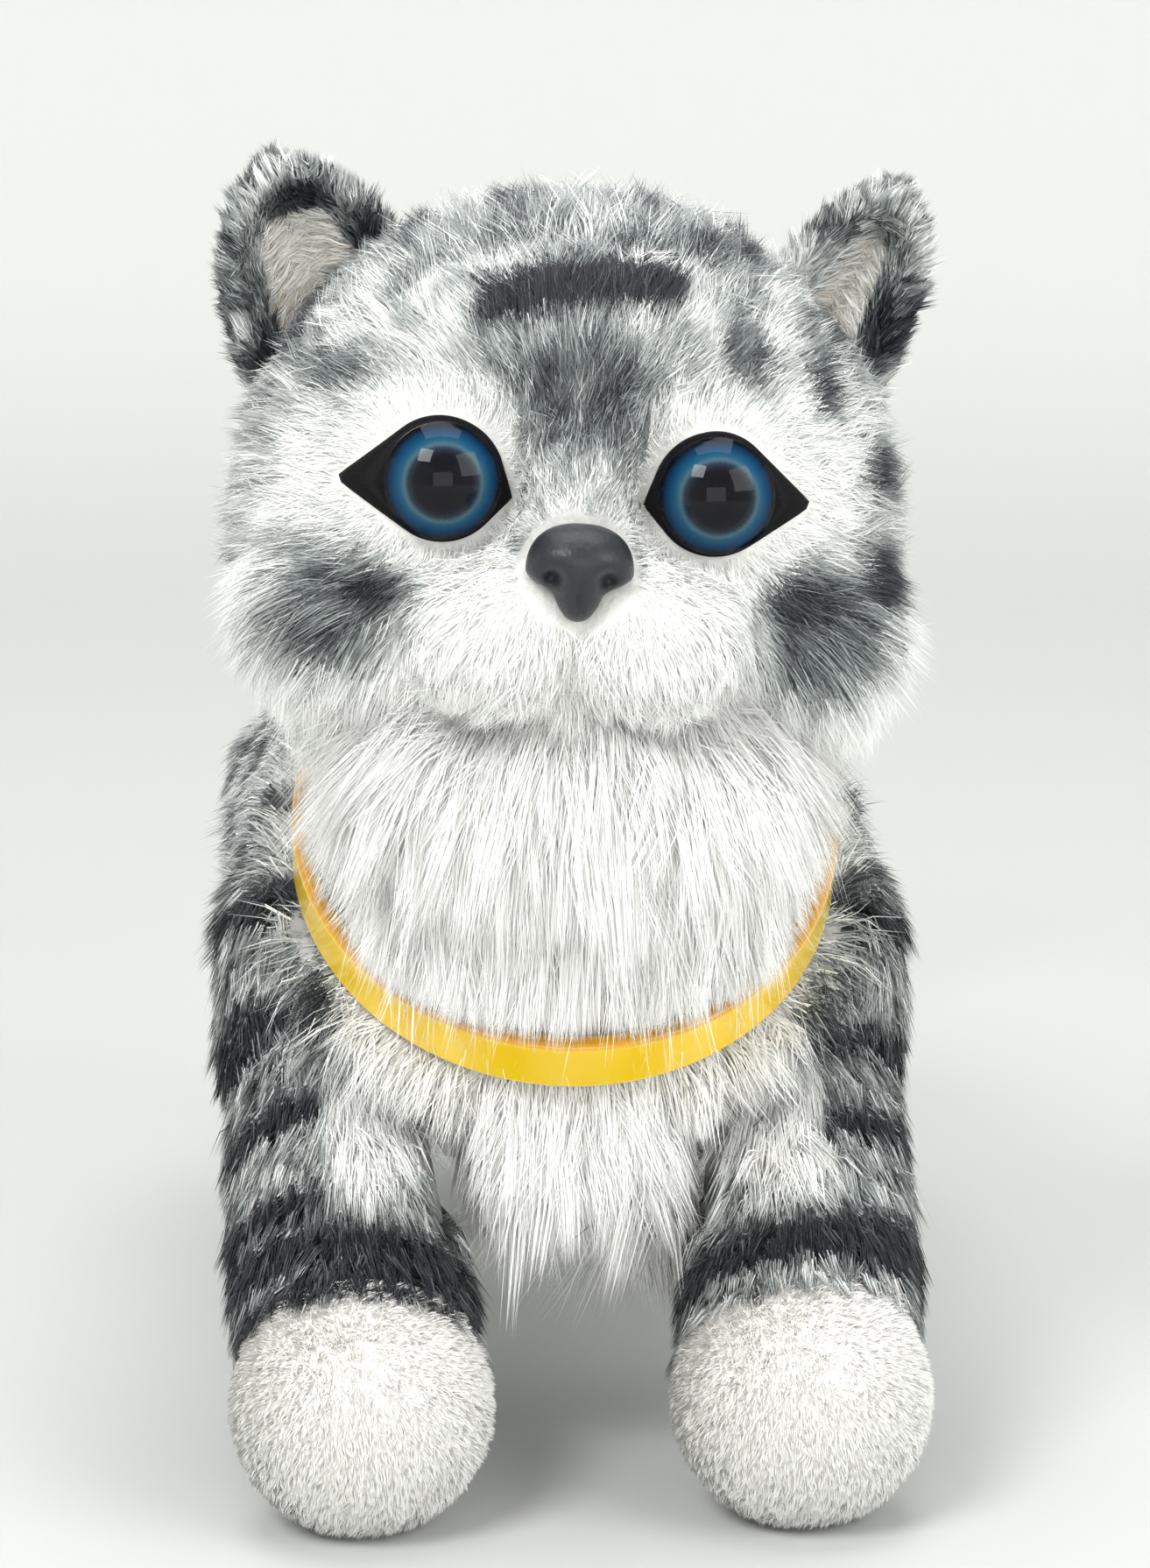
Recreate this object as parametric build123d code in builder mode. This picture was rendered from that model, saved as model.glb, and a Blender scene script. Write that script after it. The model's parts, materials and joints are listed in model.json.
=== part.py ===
from build123d import *
from math import atan2, cos, degrees, hypot, radians, sin
import os

# A walking plush kitten. Millimetres, +Z up, nose towards -Y, feet on Z = 0.

# Driving dimensions of the hard body shell
shell_half_width = 24.0
shell_front = -71.0
shell_back = 73.0
shell_bottom = 40.0
shell_top = 98.0
shell_wall = 2.0
shell_corner = 8.0
axle_height = 66.0

# Legs: pivots, swing and covers
shoulder_y = -61.0
hip_y = 51.0
leg_swing = 7.5
stub_radius = 4.0
running_gap = 0.05
fore_paw = (31.5, -117.0, 17.5)
fore_paw_radius = 18.0
hind_foot = (40.0, 31.0, 13.6)
hind_foot_radius = 14.0
fore_limb_radius = 16.5
shoulder_radius = 19.0
thigh_radius = 26.0
leg_inner_x = 26.0
leg_outer_x = 50.0
cover_gap = 1.2

# Drive train
crank_y = (shoulder_y + hip_y) / 2
crank_radius = 8.2
crank_pin_radius = 1.2
crank_slot_width = 4.8
disc_radius = 11.5
crankshaft_radius = 2.0
gear_shaft_radius = 1.0
gear_module = 0.6
wheel_teeth = 36
pinion_teeth = 10
gear_width = 3.0
second_angle = 60.0
first_angle = 0.0
motor_angle = -10.0
motor_radius = 10.0
motor_front_x = 6.0
motor_length = 25.0
plate_x = 11.0
plate_thickness = 2.0

# Head, in its own frame: x right, y back, z up from the head's centre
head_centre = (-1.5, -87.0, 140.0)
head_tilt = 3.5
head_radius = 43.0
head_half_width = 47.0
skull_radius = 33.0
skull_half_width = 37.0
skull_wall = 2.0
skull_split_y = -8.0
neck_height = 115.5
neck_pin_radius = 3.0
neck_pin_front = -77.0
neck_post_front = -58.0
eye_x = 18.7
eye_z = 8.9
eye_radius = 8.0
eye_front = -44.5
muzzle_z = -9.0
nose_y = -55.5

# Collar: an oval band hanging on a steep plane
collar_centre = (0.0, -72.0, 92.0)
collar_tilt = 34.0
collar_half_width = 41.0
collar_half_length = 48.5
collar_height = 8.5
collar_thickness = 3.0

# Power and electronics
tray_top = 53.6
tray_half_width = 17.0
tray_front = -3.0
tray_back = 47.0
cell_radius = 5.2
cell_length = 44.5
cell_pitch = 10.6
cover_thickness = 2.0
switch_y = -15.0
switch_window_length = 9.0
switch_window_width = 4.4
switch_travel = 3.0
speaker_y = -43.0
speaker_radius = 14.0

# Tail
tail_pin_y = 80.0
tail_height = 84.0
tail_radius = 9.0
tail_core_radius = 2.0

os.makedirs("parts", exist_ok=True)


def save(part, label):
    """Labels one finished piece and writes it."""
    part.label = label
    export_step(part, f"parts/{label}.step")


def mirrored(part):
    """The same piece on the other side of the body."""
    return part.mirror(Plane.YZ)


# Body shell ---------------------------------------------------------------------------------------
shell_length = shell_back - shell_front
shell_middle_y = (shell_front + shell_back) / 2
shell_middle_z = (shell_bottom + shell_top) / 2
shell_size = (2 * shell_half_width, shell_length, shell_top - shell_bottom)
pivot_ys = (shoulder_y, hip_y)


def rounded_box(inset):
    """The shell's outer block drawn in by the given inset, as a part."""
    with BuildPart() as block:
        with Locations((0, shell_middle_y, shell_middle_z)):
            Box(*(side - 2 * inset for side in shell_size))
        fillet(block.edges(), shell_corner - inset)
    return block.part


front_boss = (10.0, shell_front + 6.0)
middle_boss = (8.0, -26.0)
rear_boss = (shell_half_width - 6.5, shell_back - 9.0)
boss_places = [(side * x, y) for side in (-1, 1) for x, y in (front_boss, middle_boss, rear_boss)]
boss_radius = 3.0
boss_inset = 1.9
screw_radius = 1.4
screw_length = 30.0
screw_head_radius = 2.6
screw_head_height = 1.5

# speaker grille: two rings of holes
outer_grille = {"radius": 8.0, "count": 8}
outer_hole_radius = 1.6
inner_grille = {"radius": 3.5, "count": 4}
inner_hole_radius = 1.3

with BuildPart() as shell_whole:
    add(rounded_box(0))
    add(rounded_box(shell_wall), mode=Mode.SUBTRACT)
    # screw bosses through both halves
    with BuildSketch(Plane.XY.offset(shell_bottom + boss_inset)):
        with Locations(*boss_places):
            Circle(boss_radius)
    extrude(amount=shell_top - shell_bottom - 2 * boss_inset)
    with BuildSketch(Plane.XY.offset(shell_bottom)):
        with Locations(*boss_places):
            Circle(screw_radius)
    extrude(amount=screw_length, mode=Mode.SUBTRACT)
    # bearings for the four leg shafts
    with BuildSketch(Plane.YZ.offset(-shell_half_width)):
        with Locations(*[(y, axle_height) for y in pivot_ys]):
            Circle(stub_radius + running_gap)
    extrude(amount=2 * shell_half_width, mode=Mode.SUBTRACT)
    # battery opening, switch window and speaker grille in the floor
    with BuildSketch(Plane.XY.offset(shell_bottom)):
        with Locations((0, (tray_front + tray_back) / 2)):
            Rectangle(2 * tray_half_width, tray_back - tray_front)
        with Locations((0, switch_y)):
            Rectangle(switch_window_length, switch_window_width)
        with Locations((0, speaker_y)):
            with PolarLocations(**outer_grille):
                Circle(outer_hole_radius)
            with PolarLocations(**inner_grille):
                Circle(inner_hole_radius)
    extrude(amount=shell_wall, mode=Mode.SUBTRACT)

with BuildPart() as lower_shell:
    add(shell_whole.part)
    split(bisect_by=Plane.XY.offset(axle_height), keep=Keep.BOTTOM)
save(lower_shell.part, "lower_shell")

with BuildPart() as upper_shell:
    add(shell_whole.part)
    split(bisect_by=Plane.XY.offset(axle_height), keep=Keep.TOP)
save(upper_shell.part, "upper_shell")

with BuildPart() as shell_screws:
    with BuildSketch(Plane.XY.offset(shell_bottom)):
        with Locations(*boss_places):
            Circle(screw_radius)
    extrude(amount=screw_length)
    with BuildSketch(Plane.XY.offset(shell_bottom)):
        with Locations(*boss_places):
            Circle(screw_head_radius)
    extrude(amount=-screw_head_height)
save(shell_screws.part, "shell_screws")


# Gears ----------------------------------------------------------------------------------------------
tooth_rise = 0.9 * gear_module
tooth_drop = 1.15 * gear_module
# half widths of a tooth at its root, pitch circle and tip, as shares of the pitch
root_share = 0.30
pitch_share = 0.20
tip_share = 0.09
pinion_overhang = 0.5
motor_pinion_overhang = 0.2
crank_gear_x = -8.0
second_wheel_x = -3.5
first_wheel_x = 6.5
first_hub_radius = 2.3
motor_shaft_root = 12.0
motor_shaft_length = 16.0
motor_bore_depth = 12.5
crankshaft_half_length = 16.5


def pitch_radius(teeth):
    return gear_module * teeth / 2


centre_distance = pitch_radius(wheel_teeth) + pitch_radius(pinion_teeth)


def beyond(start, angle):
    """The next gear centre along the train, as (y, z)."""
    run = centre_distance
    return (start[0] + run * cos(radians(angle)), start[1] + run * sin(radians(angle)))


crank_axis = (crank_y, axle_height)
second_axis = beyond(crank_axis, second_angle)
first_axis = beyond(second_axis, first_angle)
motor_axis = beyond(first_axis, motor_angle)


def gear_points(teeth, tooth_at):
    """The outline of a spur gear with one tooth centred at the given angle in degrees."""
    pitch = 360 / teeth
    rising = ((-tooth_drop, -root_share), (0.0, -pitch_share), (tooth_rise, -tip_share))
    falling = tuple((height, -offset) for height, offset in reversed(rising))
    points = []
    for tooth in range(teeth):
        for height, offset in rising + falling:
            angle = radians(tooth_at + (tooth + offset) * pitch)
            radius = pitch_radius(teeth) + height
            points.append((radius * cos(angle), radius * sin(angle)))
    return points


def gear_sketch(axis, teeth, tooth_at):
    """Adds one gear outline to the open sketch, on its (y, z) axis."""
    with Locations(axis):
        Polygon(*gear_points(teeth, tooth_at), align=None)


def meshed(angle):
    """Where a pinion's tooth stands to meet the wheel before it, in degrees."""
    return angle + 180 + 180 / pinion_teeth


with BuildPart() as crank_gear:
    with BuildSketch(Plane.YZ.offset(crank_gear_x)):
        gear_sketch(crank_axis, wheel_teeth, second_angle)
        with Locations(crank_axis):
            Circle(crankshaft_radius, mode=Mode.SUBTRACT)
    extrude(amount=gear_width)
save(crank_gear.part, "crank_gear")

with BuildPart() as second_gear:
    with BuildSketch(Plane.YZ.offset(crank_gear_x - pinion_overhang)):
        gear_sketch(second_axis, pinion_teeth, meshed(second_angle))
    extrude(amount=second_wheel_x - crank_gear_x + pinion_overhang)
    with BuildSketch(Plane.YZ.offset(second_wheel_x)):
        gear_sketch(second_axis, wheel_teeth, first_angle)
    extrude(amount=gear_width)
    with BuildSketch(Plane.YZ.offset(-plate_x)):
        with Locations(second_axis):
            Circle(gear_shaft_radius + running_gap)
    extrude(amount=2 * plate_x, mode=Mode.SUBTRACT)
save(second_gear.part, "second_gear")

first_hub_x = second_wheel_x + gear_width + pinion_overhang

with BuildPart() as first_gear:
    with BuildSketch(Plane.YZ.offset(second_wheel_x - pinion_overhang)):
        gear_sketch(first_axis, pinion_teeth, meshed(first_angle))
    extrude(amount=gear_width + 2 * pinion_overhang)
    with BuildSketch(Plane.YZ.offset(first_hub_x)):
        with Locations(first_axis):
            Circle(first_hub_radius)
    extrude(amount=first_wheel_x - first_hub_x)
    with BuildSketch(Plane.YZ.offset(first_wheel_x)):
        gear_sketch(first_axis, wheel_teeth, motor_angle)
    extrude(amount=gear_width)
    with BuildSketch(Plane.YZ.offset(-plate_x)):
        with Locations(first_axis):
            Circle(gear_shaft_radius + running_gap)
    extrude(amount=2 * plate_x, mode=Mode.SUBTRACT)
save(first_gear.part, "first_gear")

with BuildPart() as motor_pinion:
    with BuildSketch(Plane.YZ.offset(first_wheel_x - motor_pinion_overhang)):
        gear_sketch(motor_axis, pinion_teeth, meshed(motor_angle))
        with Locations(motor_axis):
            Circle(gear_shaft_radius, mode=Mode.SUBTRACT)
    extrude(amount=gear_width + 2 * motor_pinion_overhang)
save(motor_pinion.part, "motor_pinion")

with BuildPart() as motor_shaft:
    with BuildSketch(Plane.YZ.offset(motor_front_x - motor_shaft_root)):
        with Locations(motor_axis):
            Circle(gear_shaft_radius)
    extrude(amount=motor_shaft_length)
save(motor_shaft.part, "motor_shaft")

with BuildPart() as motor:
    with BuildSketch(Plane.YZ.offset(motor_front_x - motor_length)):
        with Locations(motor_axis):
            Circle(motor_radius)
    extrude(amount=motor_length)
    with BuildSketch(Plane.YZ.offset(motor_front_x - motor_bore_depth)):
        with Locations(motor_axis):
            Circle(gear_shaft_radius + running_gap)
    extrude(amount=motor_bore_depth, mode=Mode.SUBTRACT)
save(motor.part, "motor")

with BuildPart() as crankshaft:
    with BuildSketch(Plane.YZ.offset(-crankshaft_half_length)):
        with Locations(crank_axis):
            Circle(crankshaft_radius)
    extrude(amount=2 * crankshaft_half_length)
save(crankshaft.part, "crankshaft")

disc_inner_x = 14.0
disc_thickness = 2.5
crank_pin_end = 21.5

with BuildPart() as right_crank:
    with BuildSketch(Plane.YZ.offset(disc_inner_x)):
        with Locations(crank_axis):
            Circle(disc_radius)
            Circle(crankshaft_radius, mode=Mode.SUBTRACT)
    extrude(amount=disc_thickness)
    with BuildSketch(Plane.YZ.offset(disc_inner_x + disc_thickness)):
        with Locations((crank_y - crank_radius, axle_height)):
            Circle(crank_pin_radius)
    extrude(amount=crank_pin_end - disc_inner_x - disc_thickness)
save(right_crank.part, "right_crank")

# the left pin stands half a turn away, so the two sides step in turn
with BuildPart() as left_crank:
    with BuildSketch(Plane.YZ.offset(-disc_inner_x)):
        with Locations(crank_axis):
            Circle(disc_radius)
            Circle(crankshaft_radius, mode=Mode.SUBTRACT)
    extrude(amount=-disc_thickness)
    with BuildSketch(Plane.YZ.offset(-disc_inner_x - disc_thickness)):
        with Locations((crank_y + crank_radius, axle_height)):
            Circle(crank_pin_radius)
    extrude(amount=-(crank_pin_end - disc_inner_x - disc_thickness))
save(left_crank.part, "left_crank")

# Gearbox frame
post_places = ((-18.0, 59.0), (-18.0, 88.0), (41.0, 60.0), (41.0, 89.0))
post_radius = 2.0
frame_y = (-22.0, 45.0)
frame_z = (55.0, 92.0)


def gearbox_plate(start):
    """One gearbox plate with its shaft holes, from x = start to the right."""
    with BuildPart() as plate:
        with BuildSketch(Plane.YZ.offset(start)):
            with Locations((sum(frame_y) / 2, sum(frame_z) / 2)):
                Rectangle(frame_y[1] - frame_y[0], frame_z[1] - frame_z[0])
            with Locations(crank_axis):
                Circle(crankshaft_radius + running_gap, mode=Mode.SUBTRACT)
            with Locations(second_axis, first_axis):
                Circle(gear_shaft_radius, mode=Mode.SUBTRACT)
            with Locations(motor_axis):
                Circle(motor_radius, mode=Mode.SUBTRACT)
        extrude(amount=plate_thickness)
    return plate.part


save(gearbox_plate(-plate_x - plate_thickness), "gearbox_left")
save(gearbox_plate(plate_x), "gearbox_right")

with BuildPart() as gearbox_posts:
    with BuildSketch(Plane.YZ.offset(-plate_x)):
        with Locations(*post_places):
            Circle(post_radius)
    extrude(amount=2 * plate_x)
save(gearbox_posts.part, "gearbox_posts")

with BuildPart() as gear_shafts:
    with BuildSketch(Plane.YZ.offset(-plate_x - plate_thickness)):
        with Locations(second_axis, first_axis):
            Circle(gear_shaft_radius)
    extrude(amount=2 * (plate_x + plate_thickness))
save(gear_shafts.part, "gear_shafts")

# Leg levers and cores --------------------------------------------------------------------------------
lever_thickness = 2.0
lever_half_height = 5.0
lever_eye_radius = 7.0
lever_end_wall = 3.0
slot_reach = crank_radius + 2.6
stub_end_x = 32.0
lever_x = {"front": 17.0, "hind": 19.4}


def lever(pivot_y, start_x):
    """A slotted lever inside the shell with its stub shaft out through the wall, on the right side."""
    toward = 1 if crank_y > pivot_y else -1
    tip_y = crank_y + toward * (slot_reach + lever_end_wall)
    slot_run = 2 * slot_reach - crank_slot_width
    with BuildPart() as arm:
        with BuildSketch(Plane.YZ.offset(start_x)):
            with Locations(((pivot_y + tip_y) / 2, axle_height)):
                Rectangle(abs(tip_y - pivot_y), 2 * lever_half_height)
            with Locations((pivot_y, axle_height)):
                Circle(lever_eye_radius)
            with Locations((crank_y, axle_height)):
                SlotCenterToCenter(slot_run, crank_slot_width, mode=Mode.SUBTRACT)
        extrude(amount=lever_thickness)
        with BuildSketch(Plane.YZ.offset(start_x + lever_thickness)):
            with Locations((pivot_y, axle_height)):
                Circle(stub_radius)
        extrude(amount=stub_end_x - start_x - lever_thickness)
    return arm.part


for end, pivot_y in (("front", shoulder_y), ("hind", hip_y)):
    right_lever = lever(pivot_y, lever_x[end])
    save(right_lever, f"right_{end}_lever")
    save(mirrored(right_lever), f"left_{end}_lever")

core_x = 27.0
core_thickness = 9.0
core_root_radius = 8.5
core_tip_radius = 5.0
# the (y, z) end of each core, a little behind and above the middle of its paw
core_tips = {"front": (fore_paw[1] + 6, 23.0), "hind": (hind_foot[1] + 8, 20.0)}


def arm_sketch(pivot_y, tip, wide, narrow):
    """A tapering arm outline from the pivot to its (y, z) tip, seen from the side."""
    run_y = tip[0] - pivot_y
    run_z = tip[1] - axle_height
    reach = hypot(run_y, run_z)
    side_y, side_z = -run_z / reach, run_y / reach
    root = (pivot_y, axle_height)
    corners = [
        (root[0] + side_y * wide, root[1] + side_z * wide),
        (tip[0] + side_y * narrow, tip[1] + side_z * narrow),
        (tip[0] - side_y * narrow, tip[1] - side_z * narrow),
        (root[0] - side_y * wide, root[1] - side_z * wide),
    ]
    Polygon(*corners, align=None)
    with Locations(root):
        Circle(wide)
    with Locations(tip):
        Circle(narrow)


leg_cores = {}
for end, pivot_y in (("front", shoulder_y), ("hind", hip_y)):
    with BuildPart() as leg_core:
        with BuildSketch(Plane.YZ.offset(core_x)):
            arm_sketch(pivot_y, core_tips[end], core_root_radius, core_tip_radius)
        extrude(amount=core_thickness)
        with BuildSketch(Plane.YZ.offset(core_x)):
            with Locations((pivot_y, axle_height)):
                Circle(stub_radius)
        extrude(amount=stub_end_x - core_x, mode=Mode.SUBTRACT)
    leg_cores[end] = leg_core.part
    save(leg_core.part, f"right_{end}_leg_core")
    save(mirrored(leg_core.part), f"left_{end}_leg_core")

leg_width = leg_outer_x - leg_inner_x
fore_axis_x = (leg_inner_x + leg_outer_x) / 2 - 1
shoulder_round = 8.0
fore_taper = 4.5


def stadium(root, tip, radius):
    """A round-ended band between two (y, z) points, added to the open sketch."""
    middle = ((root[0] + tip[0]) / 2, (root[1] + tip[1]) / 2)
    run = hypot(tip[0] - root[0], tip[1] - root[1])
    turn = degrees(atan2(tip[1] - root[1], tip[0] - root[0]))
    with Locations(middle):
        SlotCenterToCenter(run, 2 * radius, rotation=turn)


def remove_core(end, pivot_y):
    """The room that a leg's core and stub shaft take inside its cover, as a part."""
    with BuildPart() as room:
        add(leg_cores[end])
        with BuildSketch(Plane.YZ.offset(shell_half_width)):
            with Locations((pivot_y, axle_height)):
                Circle(stub_radius)
        extrude(amount=stub_end_x - shell_half_width)
    return room.part


with BuildPart() as fore_cover:
    with BuildSketch(Plane.YZ.offset(leg_inner_x)):
        with Locations((shoulder_y, axle_height)):
            Circle(shoulder_radius)
    extrude(amount=leg_width)
    fillet(fore_cover.edges().sort_by(Axis.X)[-1], shoulder_round)
    shoulder_spot = Vector(fore_axis_x, shoulder_y, axle_height)
    limb = Vector(*fore_paw) - shoulder_spot
    with BuildSketch(Plane(origin=shoulder_spot, z_dir=limb)):
        Circle(fore_limb_radius - fore_taper)
    with BuildSketch(Plane(origin=Vector(*fore_paw), z_dir=limb)):
        Circle(fore_limb_radius)
    loft(ruled=True)
    with Locations(fore_paw):
        Sphere(fore_paw_radius)
    split(bisect_by=Plane.XY, keep=Keep.TOP)
    add(remove_core("front", shoulder_y), mode=Mode.SUBTRACT)
save(fore_cover.part, "right_front_leg_cover")
save(mirrored(fore_cover.part), "left_front_leg_cover")

foot_half_length = 12.0
shank_radius = 12.0
shank_root_drop = 6.0
thigh_round = 10.0

with BuildPart() as hind_cover:
    with BuildSketch(Plane.YZ.offset(leg_inner_x)):
        with Locations((hip_y, axle_height)):
            Circle(thigh_radius)
    extrude(amount=leg_width)
    fillet(hind_cover.edges().sort_by(Axis.X)[-1], thigh_round)
    hip_spot = Vector(leg_inner_x + leg_width / 2, hip_y, axle_height - shank_root_drop)
    shank_end = Vector(hind_foot[0], hind_foot[1] + foot_half_length, hind_foot[2])
    shank = shank_end - hip_spot
    with BuildSketch(Plane(origin=hip_spot, z_dir=shank)):
        Circle(shank_radius)
    with BuildSketch(Plane(origin=shank_end, z_dir=shank)):
        Circle(shank_radius)
    loft(ruled=True)
    with BuildSketch(Plane.XZ.offset(-hind_foot[1] - foot_half_length)):
        with Locations((hind_foot[0], hind_foot[2])):
            Circle(hind_foot_radius)
    extrude(amount=2 * foot_half_length)
    toe = (hind_foot[0], hind_foot[1] - foot_half_length, hind_foot[2])
    with Locations(toe, tuple(shank_end)):
        Sphere(hind_foot_radius)
    split(bisect_by=Plane.XY, keep=Keep.TOP)
    add(remove_core("hind", hip_y), mode=Mode.SUBTRACT)
save(hind_cover.part, "right_hind_leg_cover")
save(mirrored(hind_cover.part), "left_hind_leg_cover")


room_overlap = 1.0


def swing_room(pivot_y, foot, hub_radius, limb_radius):
    """The space beside the body that one leg sweeps, right side, as a part."""
    reach = hypot(foot[1] - pivot_y, foot[2] - axle_height)
    rest = atan2(foot[2] - axle_height, foot[1] - pivot_y)
    with BuildPart() as room:
        with BuildSketch(Plane.YZ.offset(shell_half_width - room_overlap)):
            for turn in (-leg_swing, 0, leg_swing):
                angle = rest + radians(turn)
                tip = (pivot_y + reach * cos(angle), axle_height + reach * sin(angle))
                stadium((pivot_y, axle_height), tip, limb_radius + cover_gap)
            with Locations((pivot_y, axle_height)):
                Circle(hub_radius + cover_gap)
        extrude(amount=leg_outer_x)
        # the paw end reaches further in than the hip or shoulder
        with BuildSketch(Plane.YZ.offset(foot[0] - limb_radius - cover_gap)):
            for turn in (-leg_swing, 0, leg_swing):
                angle = rest + radians(turn)
                knee = (pivot_y + reach * cos(angle) / 3, axle_height + reach * sin(angle) / 3)
                tip = (pivot_y + reach * cos(angle), axle_height + reach * sin(angle))
                stadium(knee, tip, limb_radius + cover_gap)
        extrude(amount=leg_outer_x)
    return room.part


# Head, drawn upright in its own frame and then set tilted on its centre ------------------------------
head_pose = Location(head_centre, (0, head_tilt, 0))


def in_head(point):
    """A point of the toy's frame, in the head's own frame."""
    return tuple((head_pose.inverse() * Location(point)).position)


def egg(half_width, radius, centre=(0, 0, 0)):
    """A ball stretched from left to right, as a part."""
    with BuildPart() as ball:
        Sphere(radius, rotation=(90, 0, 0))
        scale(by=(half_width / radius, 1, 1))
    return Pos(*centre) * ball.part


neck_spot = in_head((0, 0, neck_height))
eye_places = [(side * eye_x, eye_z) for side in (-1, 1)]
eye_stem_radius = 2.5
eye_stem_end = -15.0
nose_stem_end = -26.0
nose_z = -1.6
neck_boss_radius = 6.0
neck_boss_back = 19.0
neck_boss_length = 8.0


def cut_depth(front, back):
    """A sketch plane facing the nose, at the given depth in the head's frame, and the run forwards."""
    return Plane.XZ.offset(-back), back - front


def rod(spots, radius, front, back):
    """Round bars along the nose direction, at (x, z) spots, as a part."""
    plane, run = cut_depth(front, back)
    with BuildPart() as bars:
        with BuildSketch(plane):
            with Locations(*spots):
                Circle(radius)
        extrude(amount=run)
    return bars.part


nose_spot = [(0, nose_z)]
boss_spot = [(neck_spot[0], neck_spot[2])]

with BuildPart() as skull:
    add(egg(skull_half_width, skull_radius))
    add(egg(skull_half_width - skull_wall, skull_radius - skull_wall), mode=Mode.SUBTRACT)
    add(rod(boss_spot, neck_boss_radius, neck_boss_back - neck_boss_length, neck_boss_back))
    add(rod(boss_spot, neck_pin_radius + running_gap, 0, head_radius), mode=Mode.SUBTRACT)
    add(rod(eye_places, eye_stem_radius, -head_radius, eye_stem_end), mode=Mode.SUBTRACT)
    add(rod(nose_spot, eye_stem_radius, -head_radius, nose_stem_end), mode=Mode.SUBTRACT)

half_block = 2 * head_half_width
with BuildPart() as face_shell:
    add(skull.part)
    with Locations((0, skull_split_y + half_block / 2, 0)):
        Box(half_block, half_block, half_block, mode=Mode.SUBTRACT)
save(head_pose * face_shell.part, "face_shell")

with BuildPart() as rear_head_shell:
    add(skull.part)
    with Locations((0, skull_split_y - half_block / 2, 0)):
        Box(half_block, half_block, half_block, mode=Mode.SUBTRACT)
save(head_pose * rear_head_shell.part, "rear_head_shell")

# Eyes: a black cup on a stem, a domed clear lens in front and a felt almond behind
cup_front = eye_front + 4.5
rim_back = cup_front + 1.5
surround_back = rim_back + 1.5
cup_back = cup_front + 4.5
cup_neck_radius = 6.0
dome_rise = 4.5
dome_radius = (eye_radius**2 + dome_rise**2) / (2 * dome_rise)
felt_outer_reach = 14.0
felt_outer_drop = 1.5
felt_inner_reach = 9.5
felt_inner_drop = 3.0
felt_half_height = 9.2
felt_inner_slope = 1 / 0.3
felt_outer_slope = -0.6

for label, (x, z) in zip(("left", "right"), eye_places):
    with BuildPart() as eye_cup:
        add(rod([(x, z)], eye_radius, cup_front, rim_back))
        add(rod([(x, z)], cup_neck_radius, rim_back, cup_back))
        add(rod([(x, z)], eye_stem_radius, cup_back, eye_stem_end))
    save(head_pose * eye_cup.part, f"{label}_eye_cup")

    with BuildPart() as eye_lens:
        with Locations((x, cup_front - dome_rise + dome_radius, z)):
            Sphere(dome_radius)
        with Locations((x, cup_front + half_block / 2, z)):
            Box(half_block, half_block, half_block, mode=Mode.SUBTRACT)
    save(head_pose * eye_lens.part, f"{label}_eye_lens")

    # the almond points outwards and a little down towards the nose
    outward = 1 if x > 0 else -1
    plane, run = cut_depth(rim_back, surround_back)
    with BuildPart() as eye_surround:
        with BuildSketch(plane):
            with BuildLine():
                outer = (x + outward * felt_outer_reach, z - felt_outer_drop)
                inner = (x - outward * felt_inner_reach, z - felt_inner_drop)
                upper = (x, z + felt_half_height)
                lower = (x, z - felt_half_height)
                rise = (outward, felt_inner_slope)
                fall = (outward, felt_outer_slope)
                Spline(inner, upper, outer, tangents=(rise, fall))
                fall_back = (-outward, felt_outer_slope)
                rise_back = (-outward, felt_inner_slope)
                Spline(outer, lower, inner, tangents=(fall_back, rise_back))
            make_face()
            with Locations((x, z)):
                Circle(cup_neck_radius, mode=Mode.SUBTRACT)
        extrude(amount=run)
    save(head_pose * eye_surround.part, f"{label}_eye_surround")

# Nose: a wide rounded pad over a narrow ridge, on a stem
nose_depth = 7.0
pad_back_radii = (7.4, 4.6)
pad_back_rise = 1.5
pad_front_radii = (5.6, 3.2)
pad_front_rise = 0.5
ridge_size = (4.4, 5.5, 5.0)
ridge_back = 4.0
ridge_drop = 3.5

with BuildPart() as nose:
    with BuildSketch(Plane.XZ.offset(-nose_y - nose_depth)):
        with Locations((0, nose_z + pad_back_rise)):
            Ellipse(*pad_back_radii)
    with BuildSketch(Plane.XZ.offset(-nose_y)):
        with Locations((0, nose_z + pad_front_rise)):
            Ellipse(*pad_front_radii)
    loft()
    with Locations((0, nose_y + ridge_back, nose_z - ridge_drop)):
        Box(*ridge_size)
    add(rod(nose_spot, eye_stem_radius, nose_y + nose_depth - 1, nose_stem_end))
save(head_pose * nose.part, "nose")

washer_radius = 5.0
washer_thickness = 1.0
eye_washer_front = -18.8
eye_washer_back = eye_washer_front + washer_thickness
nose_washer_front = -30.2
nose_washer_back = nose_washer_front + washer_thickness
with BuildPart() as lock_washers:
    add(rod(eye_places, washer_radius, eye_washer_front, eye_washer_back))
    add(rod(nose_spot, washer_radius, nose_washer_front, nose_washer_back))
    add(rod(eye_places + nose_spot, eye_stem_radius, -head_radius, 0), mode=Mode.SUBTRACT)
save(head_pose * lock_washers.part, "lock_washers")

# Neck: a post on the shell carries a pin that the head tilts on
neck_post_size = (16.0, 10.0)
neck_post_y = neck_post_front + neck_post_size[1] / 2
neck_post_above_pin = 5.0
neck_flange = 1.5

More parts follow.
